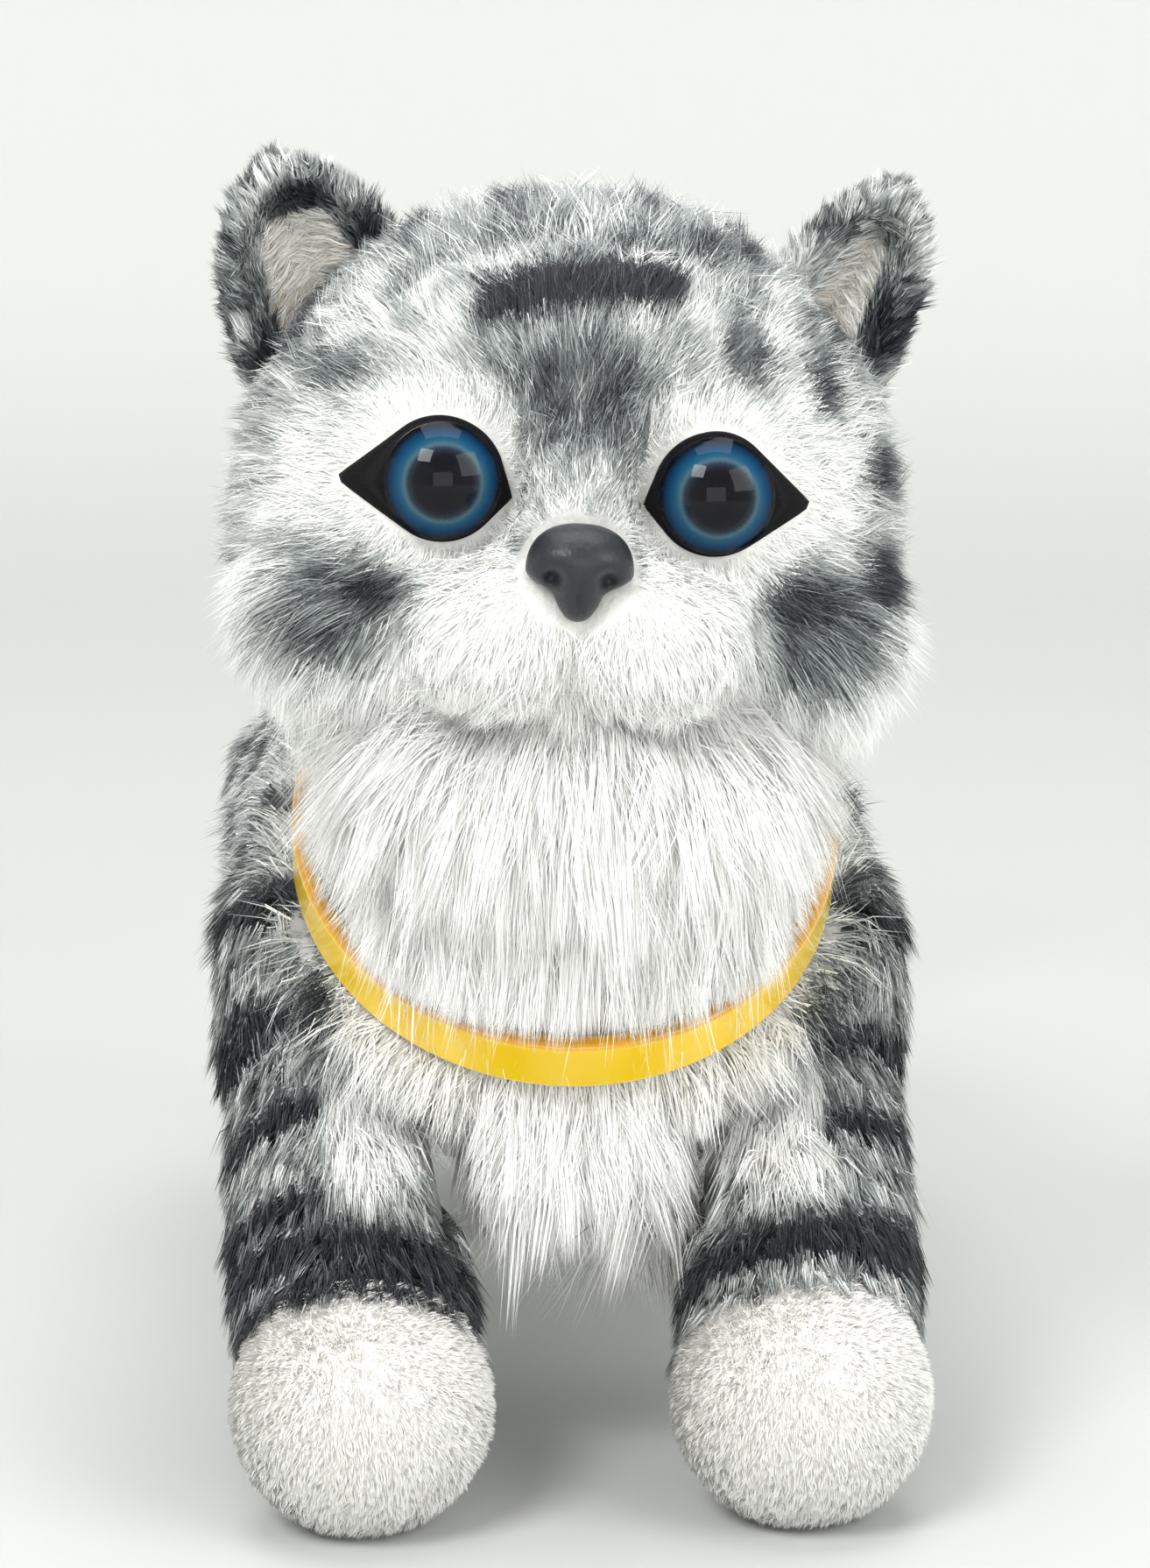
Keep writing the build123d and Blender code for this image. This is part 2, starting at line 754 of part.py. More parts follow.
with BuildPart() as neck_post:
    with BuildSketch(Plane.XY.offset(shell_top)):
        with Locations((0, neck_post_y)):
            Rectangle(*neck_post_size)
    extrude(amount=neck_height + neck_post_above_pin - shell_top)
    with BuildSketch(Plane.XZ.offset(-neck_post_front)):
        with Locations((0, neck_height)):
            Circle(neck_pin_radius)
    extrude(amount=neck_post_front - neck_pin_front)
save(neck_post.part, "neck_post")

with BuildPart() as neck_screw:
    with BuildSketch(Plane.XZ.offset(-neck_pin_front)):
        with Locations((0, neck_height)):
            Circle(neck_pin_radius + neck_flange)
    extrude(amount=neck_flange)
save(neck_screw.part, "neck_screw")

# Head cover
muzzle_half_width = 22.0
muzzle_radius = 15.0
muzzle_y = -39.0
neck_room_radius = 17.0
neck_room_y = neck_post_front + 3.0 - head_centre[1]
neck_room_top = -14.0
below_head = -head_radius - 10.0
ahead_of_face = nose_y - 4.5
eye_fit = 0.1
eye_socket_radius = 14.6
with BuildPart() as head_cover:
    add(egg(head_half_width, head_radius))
    add(egg(muzzle_half_width, muzzle_radius, (0, muzzle_y, muzzle_z)))
    add(egg(skull_half_width, skull_radius), mode=Mode.SUBTRACT)
    with BuildSketch(Plane.XY.offset(below_head)):
        with Locations((neck_spot[0], neck_room_y)):
            Circle(neck_room_radius)
    extrude(amount=neck_room_top - below_head, mode=Mode.SUBTRACT)
    add(rod(boss_spot, neck_boss_radius, 0, neck_boss_back), mode=Mode.SUBTRACT)
    add(rod(eye_places, eye_radius + eye_fit, ahead_of_face, cup_back), mode=Mode.SUBTRACT)
    add(rod(eye_places, eye_socket_radius, ahead_of_face, surround_back), mode=Mode.SUBTRACT)
    add(rod(eye_places, eye_stem_radius, ahead_of_face, eye_stem_end), mode=Mode.SUBTRACT)
    add(nose.part, mode=Mode.SUBTRACT)
save(head_pose * head_cover.part, "head_cover")

ear_root = (34.5, 4.0, 24.0)
ear_lean = 24.0
ear_thickness = 5.0
ear_height = 26.0
ear_foot = (14.0, -4.0)
ear_shoulder = (9.5, 14.0)
for label, outward in (("left", -1), ("right", 1)):
    ear_plane = Plane(
        origin=(outward * ear_root[0], ear_root[1] + ear_thickness / 2, ear_root[2]),
        x_dir=(cos(radians(ear_lean)), 0, -outward * sin(radians(ear_lean))),
        z_dir=(0, -1, 0),
    )
    with BuildPart() as ear:
        with BuildSketch(ear_plane):
            with BuildLine():
                foot = (-ear_foot[0], ear_foot[1])
                shoulder = (-ear_shoulder[0], ear_shoulder[1])
                Spline(foot, shoulder, (0, ear_height), ear_shoulder, ear_foot)
                Line(ear_foot, foot)
            make_face()
        extrude(amount=ear_thickness)
        add(egg(head_half_width, head_radius), mode=Mode.SUBTRACT)
    save(head_pose * ear.part, f"{label}_ear")

# Collar -----------------------------------------------------------------------------------------------
collar_plane = Plane(
    origin=collar_centre,
    x_dir=(1, 0, 0),
    z_dir=(0, -sin(radians(collar_tilt)), cos(radians(collar_tilt))),
)


def oval_bar(width_change, start, height):
    """An upright oval prism on the collar's plane, its radii changed by the given amount, as a part."""
    with BuildPart() as bar:
        with BuildSketch(collar_plane.offset(start)):
            Ellipse(collar_half_width + width_change, collar_half_length + width_change)
        extrude(amount=height)
    return bar.part


collar_edge_radius = 0.9

with BuildPart() as collar:
    add(oval_bar(0, -collar_height / 2, collar_height))
    add(oval_bar(-collar_thickness, -collar_height / 2, collar_height), mode=Mode.SUBTRACT)
    fillet(collar.edges(), collar_edge_radius)
save(collar.part, "collar")

# Body cover ---------------------------------------------------------------------------------------------
body_sections = (
    # (depth y, height of the middle, half width, half height)
    (-103.0, 68.0, 20.0, 18.0),
    (-93.0, 72.0, 34.0, 32.0),
    (-65.0, 76.0, 46.0, 40.0),
    (-7.0, 75.0, 48.0, 40.0),
    (48.0, 74.0, 50.0, 39.0),
    (79.0, 74.0, 38.0, 32.0),
    (91.0, 76.0, 20.0, 17.0),
)
with BuildPart() as body_outside:
    for y, z, half_width, half_height in body_sections:
        with BuildSketch(Plane.XZ.offset(-y)):
            with Locations((0, z)):
                Ellipse(half_width, half_height)
    loft()

belly_window = (2 * tray_half_width + 6, 110.0)
belly_window_y = -3.0
collar_room = 2.0
neck_inset = 6.0
head_room = 6.0
tail_room = 14.0
fit_gap = 0.5
past_cover = 40.0
collar_way_size = (4 * collar_half_width, 2.2 * collar_half_length)
collar_way_height = 60.0

# everything above the collar's plane that isn't neck, so that the band can lift
with BuildPart() as collar_way:
    with BuildSketch(collar_plane.offset(-collar_height / 2 - collar_room)):
        Rectangle(*collar_way_size)
        Ellipse(collar_half_width - neck_inset, collar_half_length - neck_inset, mode=Mode.SUBTRACT)
    extrude(amount=collar_way_height)

with BuildPart() as body_cover:
    add(body_outside.part)
    add(rounded_box(0), mode=Mode.SUBTRACT)
    for pivot_y, foot, hub, limb_size in (
        (shoulder_y, fore_paw, shoulder_radius, fore_paw_radius),
        (hip_y, hind_foot, thigh_radius, hind_foot_radius),
    ):
        room = swing_room(pivot_y, foot, hub, limb_size)
        add(room, mode=Mode.SUBTRACT)
        add(mirrored(room), mode=Mode.SUBTRACT)
    add(head_pose * egg(head_half_width + head_room, head_radius + head_room), mode=Mode.SUBTRACT)
    add(collar_way.part, mode=Mode.SUBTRACT)
    with BuildSketch(Plane.XY.offset(shell_bottom + fit_gap)):
        with Locations((0, belly_window_y)):
            Rectangle(*belly_window)
        with Locations(*boss_places):
            Circle(screw_head_radius + fit_gap)
    extrude(amount=-past_cover, mode=Mode.SUBTRACT)
    with BuildSketch(Plane.XZ.offset(-shell_back + fit_gap)):
        with Locations((0, tail_height)):
            Circle(tail_room)
    extrude(amount=-past_cover, mode=Mode.SUBTRACT)
    with BuildSketch(Plane.XY.offset(shell_top - fit_gap)):
        with Locations((0, neck_post_y)):
            Rectangle(*[side + 2 * fit_gap for side in neck_post_size])
    extrude(amount=past_cover, mode=Mode.SUBTRACT)
save(body_cover.part, "body_cover")

# Tail -----------------------------------------------------------------------------------------------------
tail_pin_radius = 1.5
lug_height = 3.0
lug_gap = 8.0
bracket_half_width = 6.0
bracket_plate = 2.5

with BuildPart() as tail_bracket:
    with BuildSketch(Plane.XZ.offset(-shell_back)):
        with Locations((0, tail_height)):
            Rectangle(2 * bracket_half_width, lug_gap + 2 * lug_height)
    extrude(amount=-bracket_plate)
    for bottom in (tail_height - lug_gap / 2 - lug_height, tail_height + lug_gap / 2):
        with BuildSketch(Plane.XY.offset(bottom)):
            with Locations((0, (shell_back + tail_pin_y) / 2)):
                Rectangle(2 * bracket_half_width, tail_pin_y - shell_back)
            with Locations((0, tail_pin_y)):
                Circle(bracket_half_width)
                Circle(tail_pin_radius, mode=Mode.SUBTRACT)
        extrude(amount=lug_height)
save(tail_bracket.part, "tail_bracket")

with BuildPart() as tail_pin:
    with BuildSketch(Plane.XY.offset(tail_height - lug_gap / 2 - lug_height)):
        with Locations((0, tail_pin_y)):
            Circle(tail_pin_radius)
    extrude(amount=lug_gap + 2 * lug_height)
save(tail_pin.part, "tail_pin")

tail_start = (tail_pin_y + 8.0, tail_height)
tail_bend_radius = 45.5
tail_rise = 110.0
core_rise = 102.0
bend_centre = (tail_start[0], tail_start[1] + tail_bend_radius)
tail_eye_height = lug_gap - 0.4
tail_eye_radius = 4.5
tail_neck = (6.0, 8.0)
tail_neck_y = tail_pin_y + 5.0

with BuildPart() as tail_core:
    with BuildSketch(Plane.XY.offset(tail_height - tail_eye_height / 2)):
        with Locations((0, tail_pin_y)):
            Circle(tail_eye_radius)
        with Locations((0, tail_neck_y)):
            Rectangle(*tail_neck)
        with Locations((0, tail_pin_y)):
            Circle(tail_pin_radius + running_gap, mode=Mode.SUBTRACT)
    extrude(amount=tail_eye_height)
    with BuildLine(Plane.YZ):
        core_path = CenterArc(bend_centre, tail_bend_radius, -90, core_rise)
    with BuildSketch(Plane(origin=(0, *tail_start), z_dir=(0, 1, 0))):
        Circle(tail_core_radius)
    sweep(path=core_path)
save(tail_core.part, "tail_core")

with BuildPart() as tail_cover:
    with BuildLine(Plane.YZ):
        tail_path = CenterArc(bend_centre, tail_bend_radius, -90, tail_rise)
    with BuildSketch(Plane(origin=(0, *tail_start), z_dir=(0, 1, 0))):
        Circle(tail_radius)
    sweep(path=tail_path)
    with Locations(tail_path @ 1):
        Sphere(tail_radius)
    add(tail_core.part, mode=Mode.SUBTRACT)
save(tail_cover.part, "tail_cover")

# Power and electronics --------------------------------------------------------------------------------------
tray_wall = 1.0
tray_floor = shell_bottom + shell_wall
tray_y = (tray_front + tray_back) / 2
tray_length = tray_back - tray_front
cell_gap = 0.1
cell_z = shell_bottom + cover_thickness + cell_gap + cell_radius
cell_spots = [(x, cell_z) for x in (-cell_pitch, 0.0, cell_pitch)]
cell_button_height = 1.0
cell_button_radius = 1.9

with BuildPart() as battery_tray:
    with BuildSketch(Plane.XY.offset(tray_floor)):
        with Locations((0, tray_y)):
            Rectangle(2 * tray_half_width, tray_length)
    extrude(amount=tray_top - tray_floor)
    with BuildSketch(Plane.XY.offset(tray_floor)):
        with Locations((0, tray_y)):
            Rectangle(2 * (tray_half_width - tray_wall), tray_length - 2 * tray_wall)
    extrude(amount=tray_top - tray_floor - tray_wall, mode=Mode.SUBTRACT)
save(battery_tray.part, "battery_tray")

with BuildPart() as battery_cells:
    with BuildSketch(Plane.XZ.offset(-tray_y + cell_length / 2)):
        with Locations(*cell_spots):
            Circle(cell_radius)
    extrude(amount=-cell_length + cell_button_height)
    with BuildSketch(Plane.XZ.offset(-tray_y + cell_length / 2)):
        with Locations(*cell_spots):
            Circle(cell_button_radius)
    extrude(amount=cell_button_height - cell_gap)
save(battery_cells.part, "battery_cells")

contact_run = (tray_length - 2 * tray_wall - cell_length) / 2
contact_thickness = 0.5
contact_side = 8.0
spring_radius = 3.0
spring_bore_radius = 2.2
with BuildPart() as battery_contacts:
    for face, inward in ((tray_front + tray_wall, 1), (tray_back - tray_wall, -1)):
        with BuildSketch(Plane.XZ.offset(-face)):
            with Locations(*cell_spots):
                Rectangle(contact_side, contact_side)
        extrude(amount=-inward * contact_thickness)
    with BuildSketch(Plane.XZ.offset(-tray_back + tray_wall + contact_thickness)):
        with Locations(*cell_spots):
            Circle(spring_radius)
            Circle(spring_bore_radius, mode=Mode.SUBTRACT)
    extrude(amount=contact_run)
save(battery_contacts.part, "battery_contacts")

cover_play = 0.2
cover_corner = 1.5
cover_size = (2 * (tray_half_width - cover_play), tray_length - 2 * cover_play)
cover_screw_y = tray_back - 4.0

with BuildPart() as battery_cover:
    with BuildSketch(Plane.XY.offset(shell_bottom)):
        with Locations((0, tray_y)):
            RectangleRounded(*cover_size, cover_corner)
        with Locations((0, cover_screw_y)):
            Circle(screw_radius, mode=Mode.SUBTRACT)
    extrude(amount=cover_thickness - cover_play)
save(battery_cover.part, "battery_cover")

with BuildPart() as cover_screw:
    with BuildSketch(Plane.XY.offset(shell_bottom - screw_head_height)):
        with Locations((0, cover_screw_y)):
            Circle(screw_head_radius)
    extrude(amount=screw_head_height)
    with BuildSketch(Plane.XY.offset(shell_bottom)):
        with Locations((0, cover_screw_y)):
            Circle(screw_radius)
    extrude(amount=cover_thickness - cover_play)
save(cover_screw.part, "cover_screw")

knob_length = switch_window_length - switch_travel - 0.8
knob_width = switch_window_width - 0.6
knob_below = 1.2
knob_height = 5.0
switch_floor = shell_bottom + shell_wall
housing_size = (16.0, 9.0, 7.0)
housing_room = (switch_window_length + 3.0, switch_window_width + 1.0, 4.0)

with BuildPart() as switch_housing:
    with BuildSketch(Plane.XY.offset(switch_floor)):
        with Locations((0, switch_y)):
            Rectangle(*housing_size[:2])
    extrude(amount=housing_size[2])
    with BuildSketch(Plane.XY.offset(switch_floor)):
        with Locations((0, switch_y)):
            Rectangle(*housing_room[:2])
    extrude(amount=housing_room[2], mode=Mode.SUBTRACT)
save(switch_housing.part, "switch_housing")

with BuildPart() as switch_slider:
    with BuildSketch(Plane.XY.offset(shell_bottom - knob_below)):
        with Locations((-switch_travel / 2, switch_y)):
            Rectangle(knob_length, knob_width)
    extrude(amount=knob_height)
save(switch_slider.part, "switch_slider")

speaker_frame_height = 3.0
magnet_radius = 9.0
magnet_height = 4.0

with BuildPart() as speaker:
    with BuildSketch(Plane.XY.offset(switch_floor)):
        with Locations((0, speaker_y)):
            Circle(speaker_radius)
    extrude(amount=speaker_frame_height)
    with BuildSketch(Plane.XY.offset(switch_floor + speaker_frame_height)):
        with Locations((0, speaker_y)):
            Circle(magnet_radius)
    extrude(amount=magnet_height)
save(speaker.part, "speaker")

board_y = -45.0
board_size = (28.0, 26.0)
board_z = 84.0
board_thickness = 1.6
board_hole_pitch = (22.0, 20.0)
board_hole_radius = 1.1
chip_spot = (-5.0, board_y + 4.0)
chip_size = (9.0, 9.0)
capacitor_spot = (7.0, board_y - 8.0)
capacitor_radius = 3.0
socket_spot = (7.0, board_y + 8.0)
socket_size = (6.0, 10.0)
component_height = 3.0
with BuildPart() as circuit_board:
    with BuildSketch(Plane.XY.offset(board_z)):
        with Locations((0, board_y)):
            Rectangle(*board_size)
            with GridLocations(*board_hole_pitch, 2, 2):
                Circle(board_hole_radius, mode=Mode.SUBTRACT)
    extrude(amount=board_thickness)
    with BuildSketch(Plane.XY.offset(board_z)):
        with Locations(chip_spot):
            Rectangle(*chip_size)
        with Locations(capacitor_spot):
            Circle(capacitor_radius)
        with Locations(socket_spot):
            Rectangle(*socket_size)
    extrude(amount=-component_height)
save(circuit_board.part, "circuit_board")

pad_y = 13.0
pad_radius = 10.0
pad_thickness = 0.6
with BuildPart() as touch_pad:
    with BuildSketch(Plane.XY.offset(shell_top - shell_wall)):
        with Locations((0, pad_y)):
            Circle(pad_radius)
    extrude(amount=-pad_thickness)
save(touch_pad.part, "touch_pad")
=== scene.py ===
# A plush tabby kitten toy: skins, fur, eyes, nose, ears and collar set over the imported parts.
import bpy
import bmesh
import json
import math
import numpy as np
from mathutils import Matrix, Vector, kdtree
from mathutils.bvhtree import BVHTree


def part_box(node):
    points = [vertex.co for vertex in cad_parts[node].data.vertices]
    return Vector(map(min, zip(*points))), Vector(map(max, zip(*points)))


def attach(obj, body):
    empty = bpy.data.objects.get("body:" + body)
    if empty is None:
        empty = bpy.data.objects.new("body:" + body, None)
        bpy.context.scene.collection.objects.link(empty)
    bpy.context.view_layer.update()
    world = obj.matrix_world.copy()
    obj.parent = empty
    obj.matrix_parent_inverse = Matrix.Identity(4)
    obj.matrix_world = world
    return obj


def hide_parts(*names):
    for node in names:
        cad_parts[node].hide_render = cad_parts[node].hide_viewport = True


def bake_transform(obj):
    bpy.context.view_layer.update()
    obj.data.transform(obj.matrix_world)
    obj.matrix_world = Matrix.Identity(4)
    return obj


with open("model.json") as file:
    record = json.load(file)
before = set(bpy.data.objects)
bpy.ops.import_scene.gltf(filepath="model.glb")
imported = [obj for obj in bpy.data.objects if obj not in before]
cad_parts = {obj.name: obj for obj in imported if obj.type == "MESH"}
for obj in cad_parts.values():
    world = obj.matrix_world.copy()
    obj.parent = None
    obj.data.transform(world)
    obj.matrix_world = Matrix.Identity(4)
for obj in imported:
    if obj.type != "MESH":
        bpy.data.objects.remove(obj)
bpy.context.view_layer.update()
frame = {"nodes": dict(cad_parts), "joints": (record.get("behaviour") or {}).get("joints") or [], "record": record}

scene = bpy.context.scene
MM = 0.001
DOWN = np.array([0.0, 0.0, -1.0])
BACK = np.array([0.0, 1.0, 0.0])
OUTWARD = {"left": -1, "right": 1}


# Places, all in millimetres in the row frame
def box_mm(node):
    """A CAD node's lowest and highest corners in millimetres."""
    return [np.array(corner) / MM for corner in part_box(node)]


head_low, head_high = box_mm("head_cover")
head_radius = (head_high[2] - head_low[2]) / 2
head_centre = np.array([(head_low[0] + head_high[0]) / 2, head_high[1] - head_radius,
                        (head_low[2] + head_high[2]) / 2])
head_tilt = math.radians(3.5)
head_matrix = Matrix.Translation(head_centre) @ Matrix.Rotation(head_tilt, 4, "Y")
head_turn = np.array(head_matrix.to_3x3())


def to_head(points):
    """Row-frame points, in the head's own frame."""
    return (points - head_centre) @ head_turn


def from_head(points):
    """Points of the head's own frame, in the row frame."""
    return np.asarray(points) @ head_turn.T + head_centre


def middle_of(node):
    """The middle of a CAD node's box in millimetres."""
    low, high = box_mm(node)
    return (low + high) / 2


eye_spots = {}
for side in ("left", "right"):
    low, high = box_mm(f"{side}_eye_lens")
    eye_spots[side] = to_head(np.array([(low + high) / 2]))[0]
eye_x = (eye_spots["right"][0] - eye_spots["left"][0]) / 2
eye_z = (eye_spots["right"][2] + eye_spots["left"][2]) / 2
eye_radius = 8.0


# Small helpers
def unit(vectors):
    """Vectors scaled to length one, row by row."""
    vectors = np.asarray(vectors, float)
    return vectors / np.maximum(np.linalg.norm(vectors, axis=-1, keepdims=True), 1e-9)


def smooth_step(low, high, value):
    """0 below low, 1 above high, and a smooth rise between."""
    t = np.clip((value - low) / (high - low), 0, 1)
    return t * t * (3 - 2 * t)


def fade(low, high, value):
    """1 below low, 0 above high, and a smooth fall between."""
    return 1 - smooth_step(low, high, value)


def ripple(points, size, seed):
    """Smooth noise between about -1 and 1 that varies over the given size in millimetres."""
    draw = np.random.default_rng(seed)
    total = np.zeros(len(points))
    for _ in range(7):
        heading = unit(draw.normal(size=3))
        wave = size * draw.uniform(0.7, 1.6)
        total += np.sin(points @ heading * (2 * np.pi / wave) + draw.uniform(0, 2 * np.pi))
    return total / 3.5


def bands(along, rise, wander, width):
    """Curved tabby stripes: 1 on a stripe, 0 between."""
    wave = np.sin(2 * np.pi * (along + rise) / width + wander)
    return smooth_step(0.25, 0.7, wave)


def blot(u, v, centre, radii, turn=0.0):
    """A soft round patch, 1 in its middle and 0 well outside."""
    c, s = math.cos(turn), math.sin(turn)
    du, dv = u - centre[0], v - centre[1]
    a = (du * c + dv * s) / radii[0]
    b = (-du * s + dv * c) / radii[1]
    return fade(0.4, 1.4, np.sqrt(a * a + b * b))


# Materials
def new_material(name, colour, roughness, **sockets):
    """A Principled material with plain values on its own sockets."""
    made = bpy.data.materials.new(name)
    made.use_nodes = True
    shader = made.node_tree.nodes["Principled BSDF"]
    shader.inputs["Base Color"].default_value = (*colour, 1)
    shader.inputs["Roughness"].default_value = roughness
    for socket, value in sockets.items():
        shader.inputs[socket.replace("_", " ")].default_value = value
    return made, shader


def feed(tree, socket, value):
    """Gives a socket a plain value or the output that feeds it."""
    if isinstance(value, bpy.types.NodeSocket):
        tree.links.new(value, socket)
    else:
        socket.default_value = value


def add_node(tree, kind, inputs, output=0, **settings):
    """A new shader node. inputs holds plain values or other nodes' outputs; gives the named output."""
    made = tree.nodes.new("ShaderNode" + kind)
    for name, value in settings.items():
        setattr(made, name, value)
    for name, value in inputs.items():
        feed(tree, made.inputs[name], value)
    return made.outputs[output]


def grained(name, colour, roughness, scale, bump, spread=0.08, shade=0.06, **sockets):
    """A moulded or drawn surface: fine noise in its colour, roughness and height."""
    made, shader = new_material(name, colour, roughness, **sockets)
    tree = made.node_tree
    place = add_node(tree, "TexCoord", {}, "Object")
    fine = add_node(tree, "TexNoise", {"Scale": scale, "Detail": 6, "Vector": place}, "Fac")
    broad = add_node(tree, "TexNoise", {"Scale": scale / 12, "Detail": 3, "Vector": place}, "Fac")
    limits = {"To Min": max(roughness - spread, 0.02), "To Max": min(roughness + spread, 1)}
    feed(tree, shader.inputs["Roughness"], add_node(tree, "MapRange", {**limits, "Value": broad}, "Result"))
    darker = (*[c * (1 - shade) for c in colour], 1)
    lighter = (*[min(c * (1 + shade), 1) for c in colour], 1)
    tint = add_node(tree, "Mix", {"A": darker, "B": lighter, "Factor": broad}, "Result", data_type="RGBA")
    feed(tree, shader.inputs["Base Color"], tint)
    lift = add_node(tree, "Bump", {"Strength": bump, "Distance": 0.3 * MM, "Height": fine}, "Normal")
    feed(tree, shader.inputs["Normal"], lift)
    return made


TONES = [
    ("fur_white", (0.98, 0.975, 0.955)),
    ("fur_pale", (0.80, 0.81, 0.795)),
    ("fur_light_grey", (0.46, 0.49, 0.48)),
    ("fur_grey", (0.25, 0.275, 0.275)),
    ("fur_dark_grey", (0.095, 0.105, 0.112)),
    ("fur_black", (0.020, 0.022, 0.028)),
    ("fur_cream", (0.94, 0.925, 0.89)),
    ("fur_beige", (0.66, 0.58, 0.49)),
]
CREAM, BEIGE = 6, 7
fur_materials = [
    new_material(name, colour, 0.6, Sheen_Weight=0.12, Sheen_Roughness=0.4, Specular_IOR_Level=0.3)[0]
    for name, colour in TONES
]


def backing_material():
    """The woven backing under the pile: its shade follows the printed pattern, broken by noise."""
    made, shader = new_material("plush_backing", (0.5, 0.5, 0.5), 0.9, Sheen_Weight=0.4)
    tree = made.node_tree
    place = add_node(tree, "TexCoord", {}, "Object")
    tone = add_node(tree, "Attribute", {}, "Fac", attribute_name="tone")
    noise = add_node(tree, "TexNoise", {"Scale": 900, "Detail": 4, "Vector": place}, "Fac")
    mixed = add_node(tree, "Math", {0: noise, 1: 0.25, 2: tone}, operation="MULTIPLY_ADD")
    ramp = add_node(tree, "ValToRGB", {"Fac": mixed}, "Color")
    pale, dark = ramp.node.color_ramp.elements
    pale.position, pale.color = 0.1, (0.78, 0.77, 0.74, 1)
    dark.position, dark.color = 1.0, (0.02, 0.022, 0.026, 1)
    feed(tree, shader.inputs["Base Color"], ramp)
    lift = add_node(tree, "Bump", {"Strength": 0.6, "Distance": 0.5 * MM, "Height": noise}, "Normal")
    feed(tree, shader.inputs["Normal"], lift)
    return made


backing = backing_material()


# Meshes
def add_object(name, mesh, material=None):
    """A new object in the scene."""
    made = bpy.data.objects.new(name, mesh)
    scene.collection.objects.link(made)
    if material:
        mesh.materials.clear()
        mesh.materials.append(material)
    return made


def mesh_from(name, points, faces):
    """A mesh from points in millimetres."""
    made = bpy.data.meshes.new(name)
    made.from_pydata([tuple(p) for p in np.asarray(points) * MM], [], faces)
    made.update()
    return made


def quads(rows, count, closed=True):
    """The faces between rows of count points each. closed joins the two ends of each row."""
    return [(r * count + i, r * count + (i + 1) % count, (r + 1) * count + (i + 1) % count,
             (r + 1) * count + i) for r in range(rows - 1) for i in range(count if closed else count - 1)]


def ball_mesh(centre, radii, turn=None):
    """A stretched ball in the row frame, centre and radii in millimetres."""
    shape = bmesh.new()
    bmesh.ops.create_icosphere(shape, subdivisions=4, radius=1)
    size = Matrix.Diagonal((*[r * MM for r in radii], 1))
    place = Matrix.Translation(Vector(centre) * MM)
    shape.transform(place @ (turn or Matrix.Identity(4)) @ size)
    made = bpy.data.meshes.new("ball")
    shape.to_mesh(made)
    shape.free()
    return made


def fused(name, meshes, voxel, rounds, cut=None):
    """One closed skin round several meshes: joined, remeshed at the voxel size in mm, and smoothed."""
    whole = bmesh.new()
    for mesh in meshes:
        whole.from_mesh(mesh)
    joined = bpy.data.meshes.new(name)
    whole.to_mesh(joined)
    whole.free()
    made = add_object(name, joined)
    remesh = made.modifiers.new("remesh", "REMESH")
    remesh.mode = "VOXEL"
    remesh.voxel_size = voxel * MM
    if cut:
        room = made.modifiers.new("room", "BOOLEAN")
        room.operation = "DIFFERENCE"
        room.solver = "FAST"
        room.object = cut
    soft = made.modifiers.new("soft", "SMOOTH")
    soft.iterations = rounds
    soft.factor = 0.5
    return settled(made)


def settled(made):
    """The object with its modifiers applied and smooth faces."""
    ready = made.evaluated_get(bpy.context.evaluated_depsgraph_get())
    final = bpy.data.meshes.new_from_object(ready)
    made.modifiers.clear()
    made.data = final
    final.shade_smooth()
    return made


def thickened(sheet, thickness):
    """A sheet made solid, its thickness in millimetres shared by both sides."""
    thick = sheet.modifiers.new("thick", "SOLIDIFY")
    thick.thickness = thickness * MM
    thick.offset = 0
    return settled(sheet)


def node_mesh(node):
    """A copy of a CAD node's mesh."""
    return frame["nodes"][node].data.copy()


def vertices_of(mesh):
    """Vertex places in millimetres and vertex normals."""
    places = np.empty(len(mesh.vertices) * 3)
    mesh.vertices.foreach_get("co", places)
    normals = np.array([v.vector for v in mesh.vertex_normals]).reshape(-1, 3)
    return places.reshape(-1, 3) / MM, normals


def move_vertices(mesh, places):
    """Sets vertex places given in millimetres."""
    mesh.vertices.foreach_set("co", (places * MM).ravel())
    mesh.update()


def paint_tone(skin, tone):
    """Stores the printed shade on the skin, from 0 white to 1 black."""
    layer = skin.data.attributes.new("tone", "FLOAT", "POINT")
    layer.data.foreach_set("value", np.asarray(tone, np.float32))
    skin.data.materials.clear()
    skin.data.materials.append(backing)


def skin_tree(skin):
    """A ray-cast tree of a skin, in millimetres."""
    places, _ = vertices_of(skin.data)
    return BVHTree.FromPolygons([tuple(p) for p in places], [tuple(f.vertices) for f in skin.data.polygons])


def in_the_open(tree, spots, normals, reach=14.0):
    """False for places whose skin looks at more of the same skin close by, as inside a hollow."""
    free = np.empty(len(spots), bool)
    for k, (spot, normal) in enumerate(zip(spots + normals * 0.3, normals)):
        free[k] = tree.ray_cast(Vector(spot), Vector(normal), reach)[0] is None
    return free


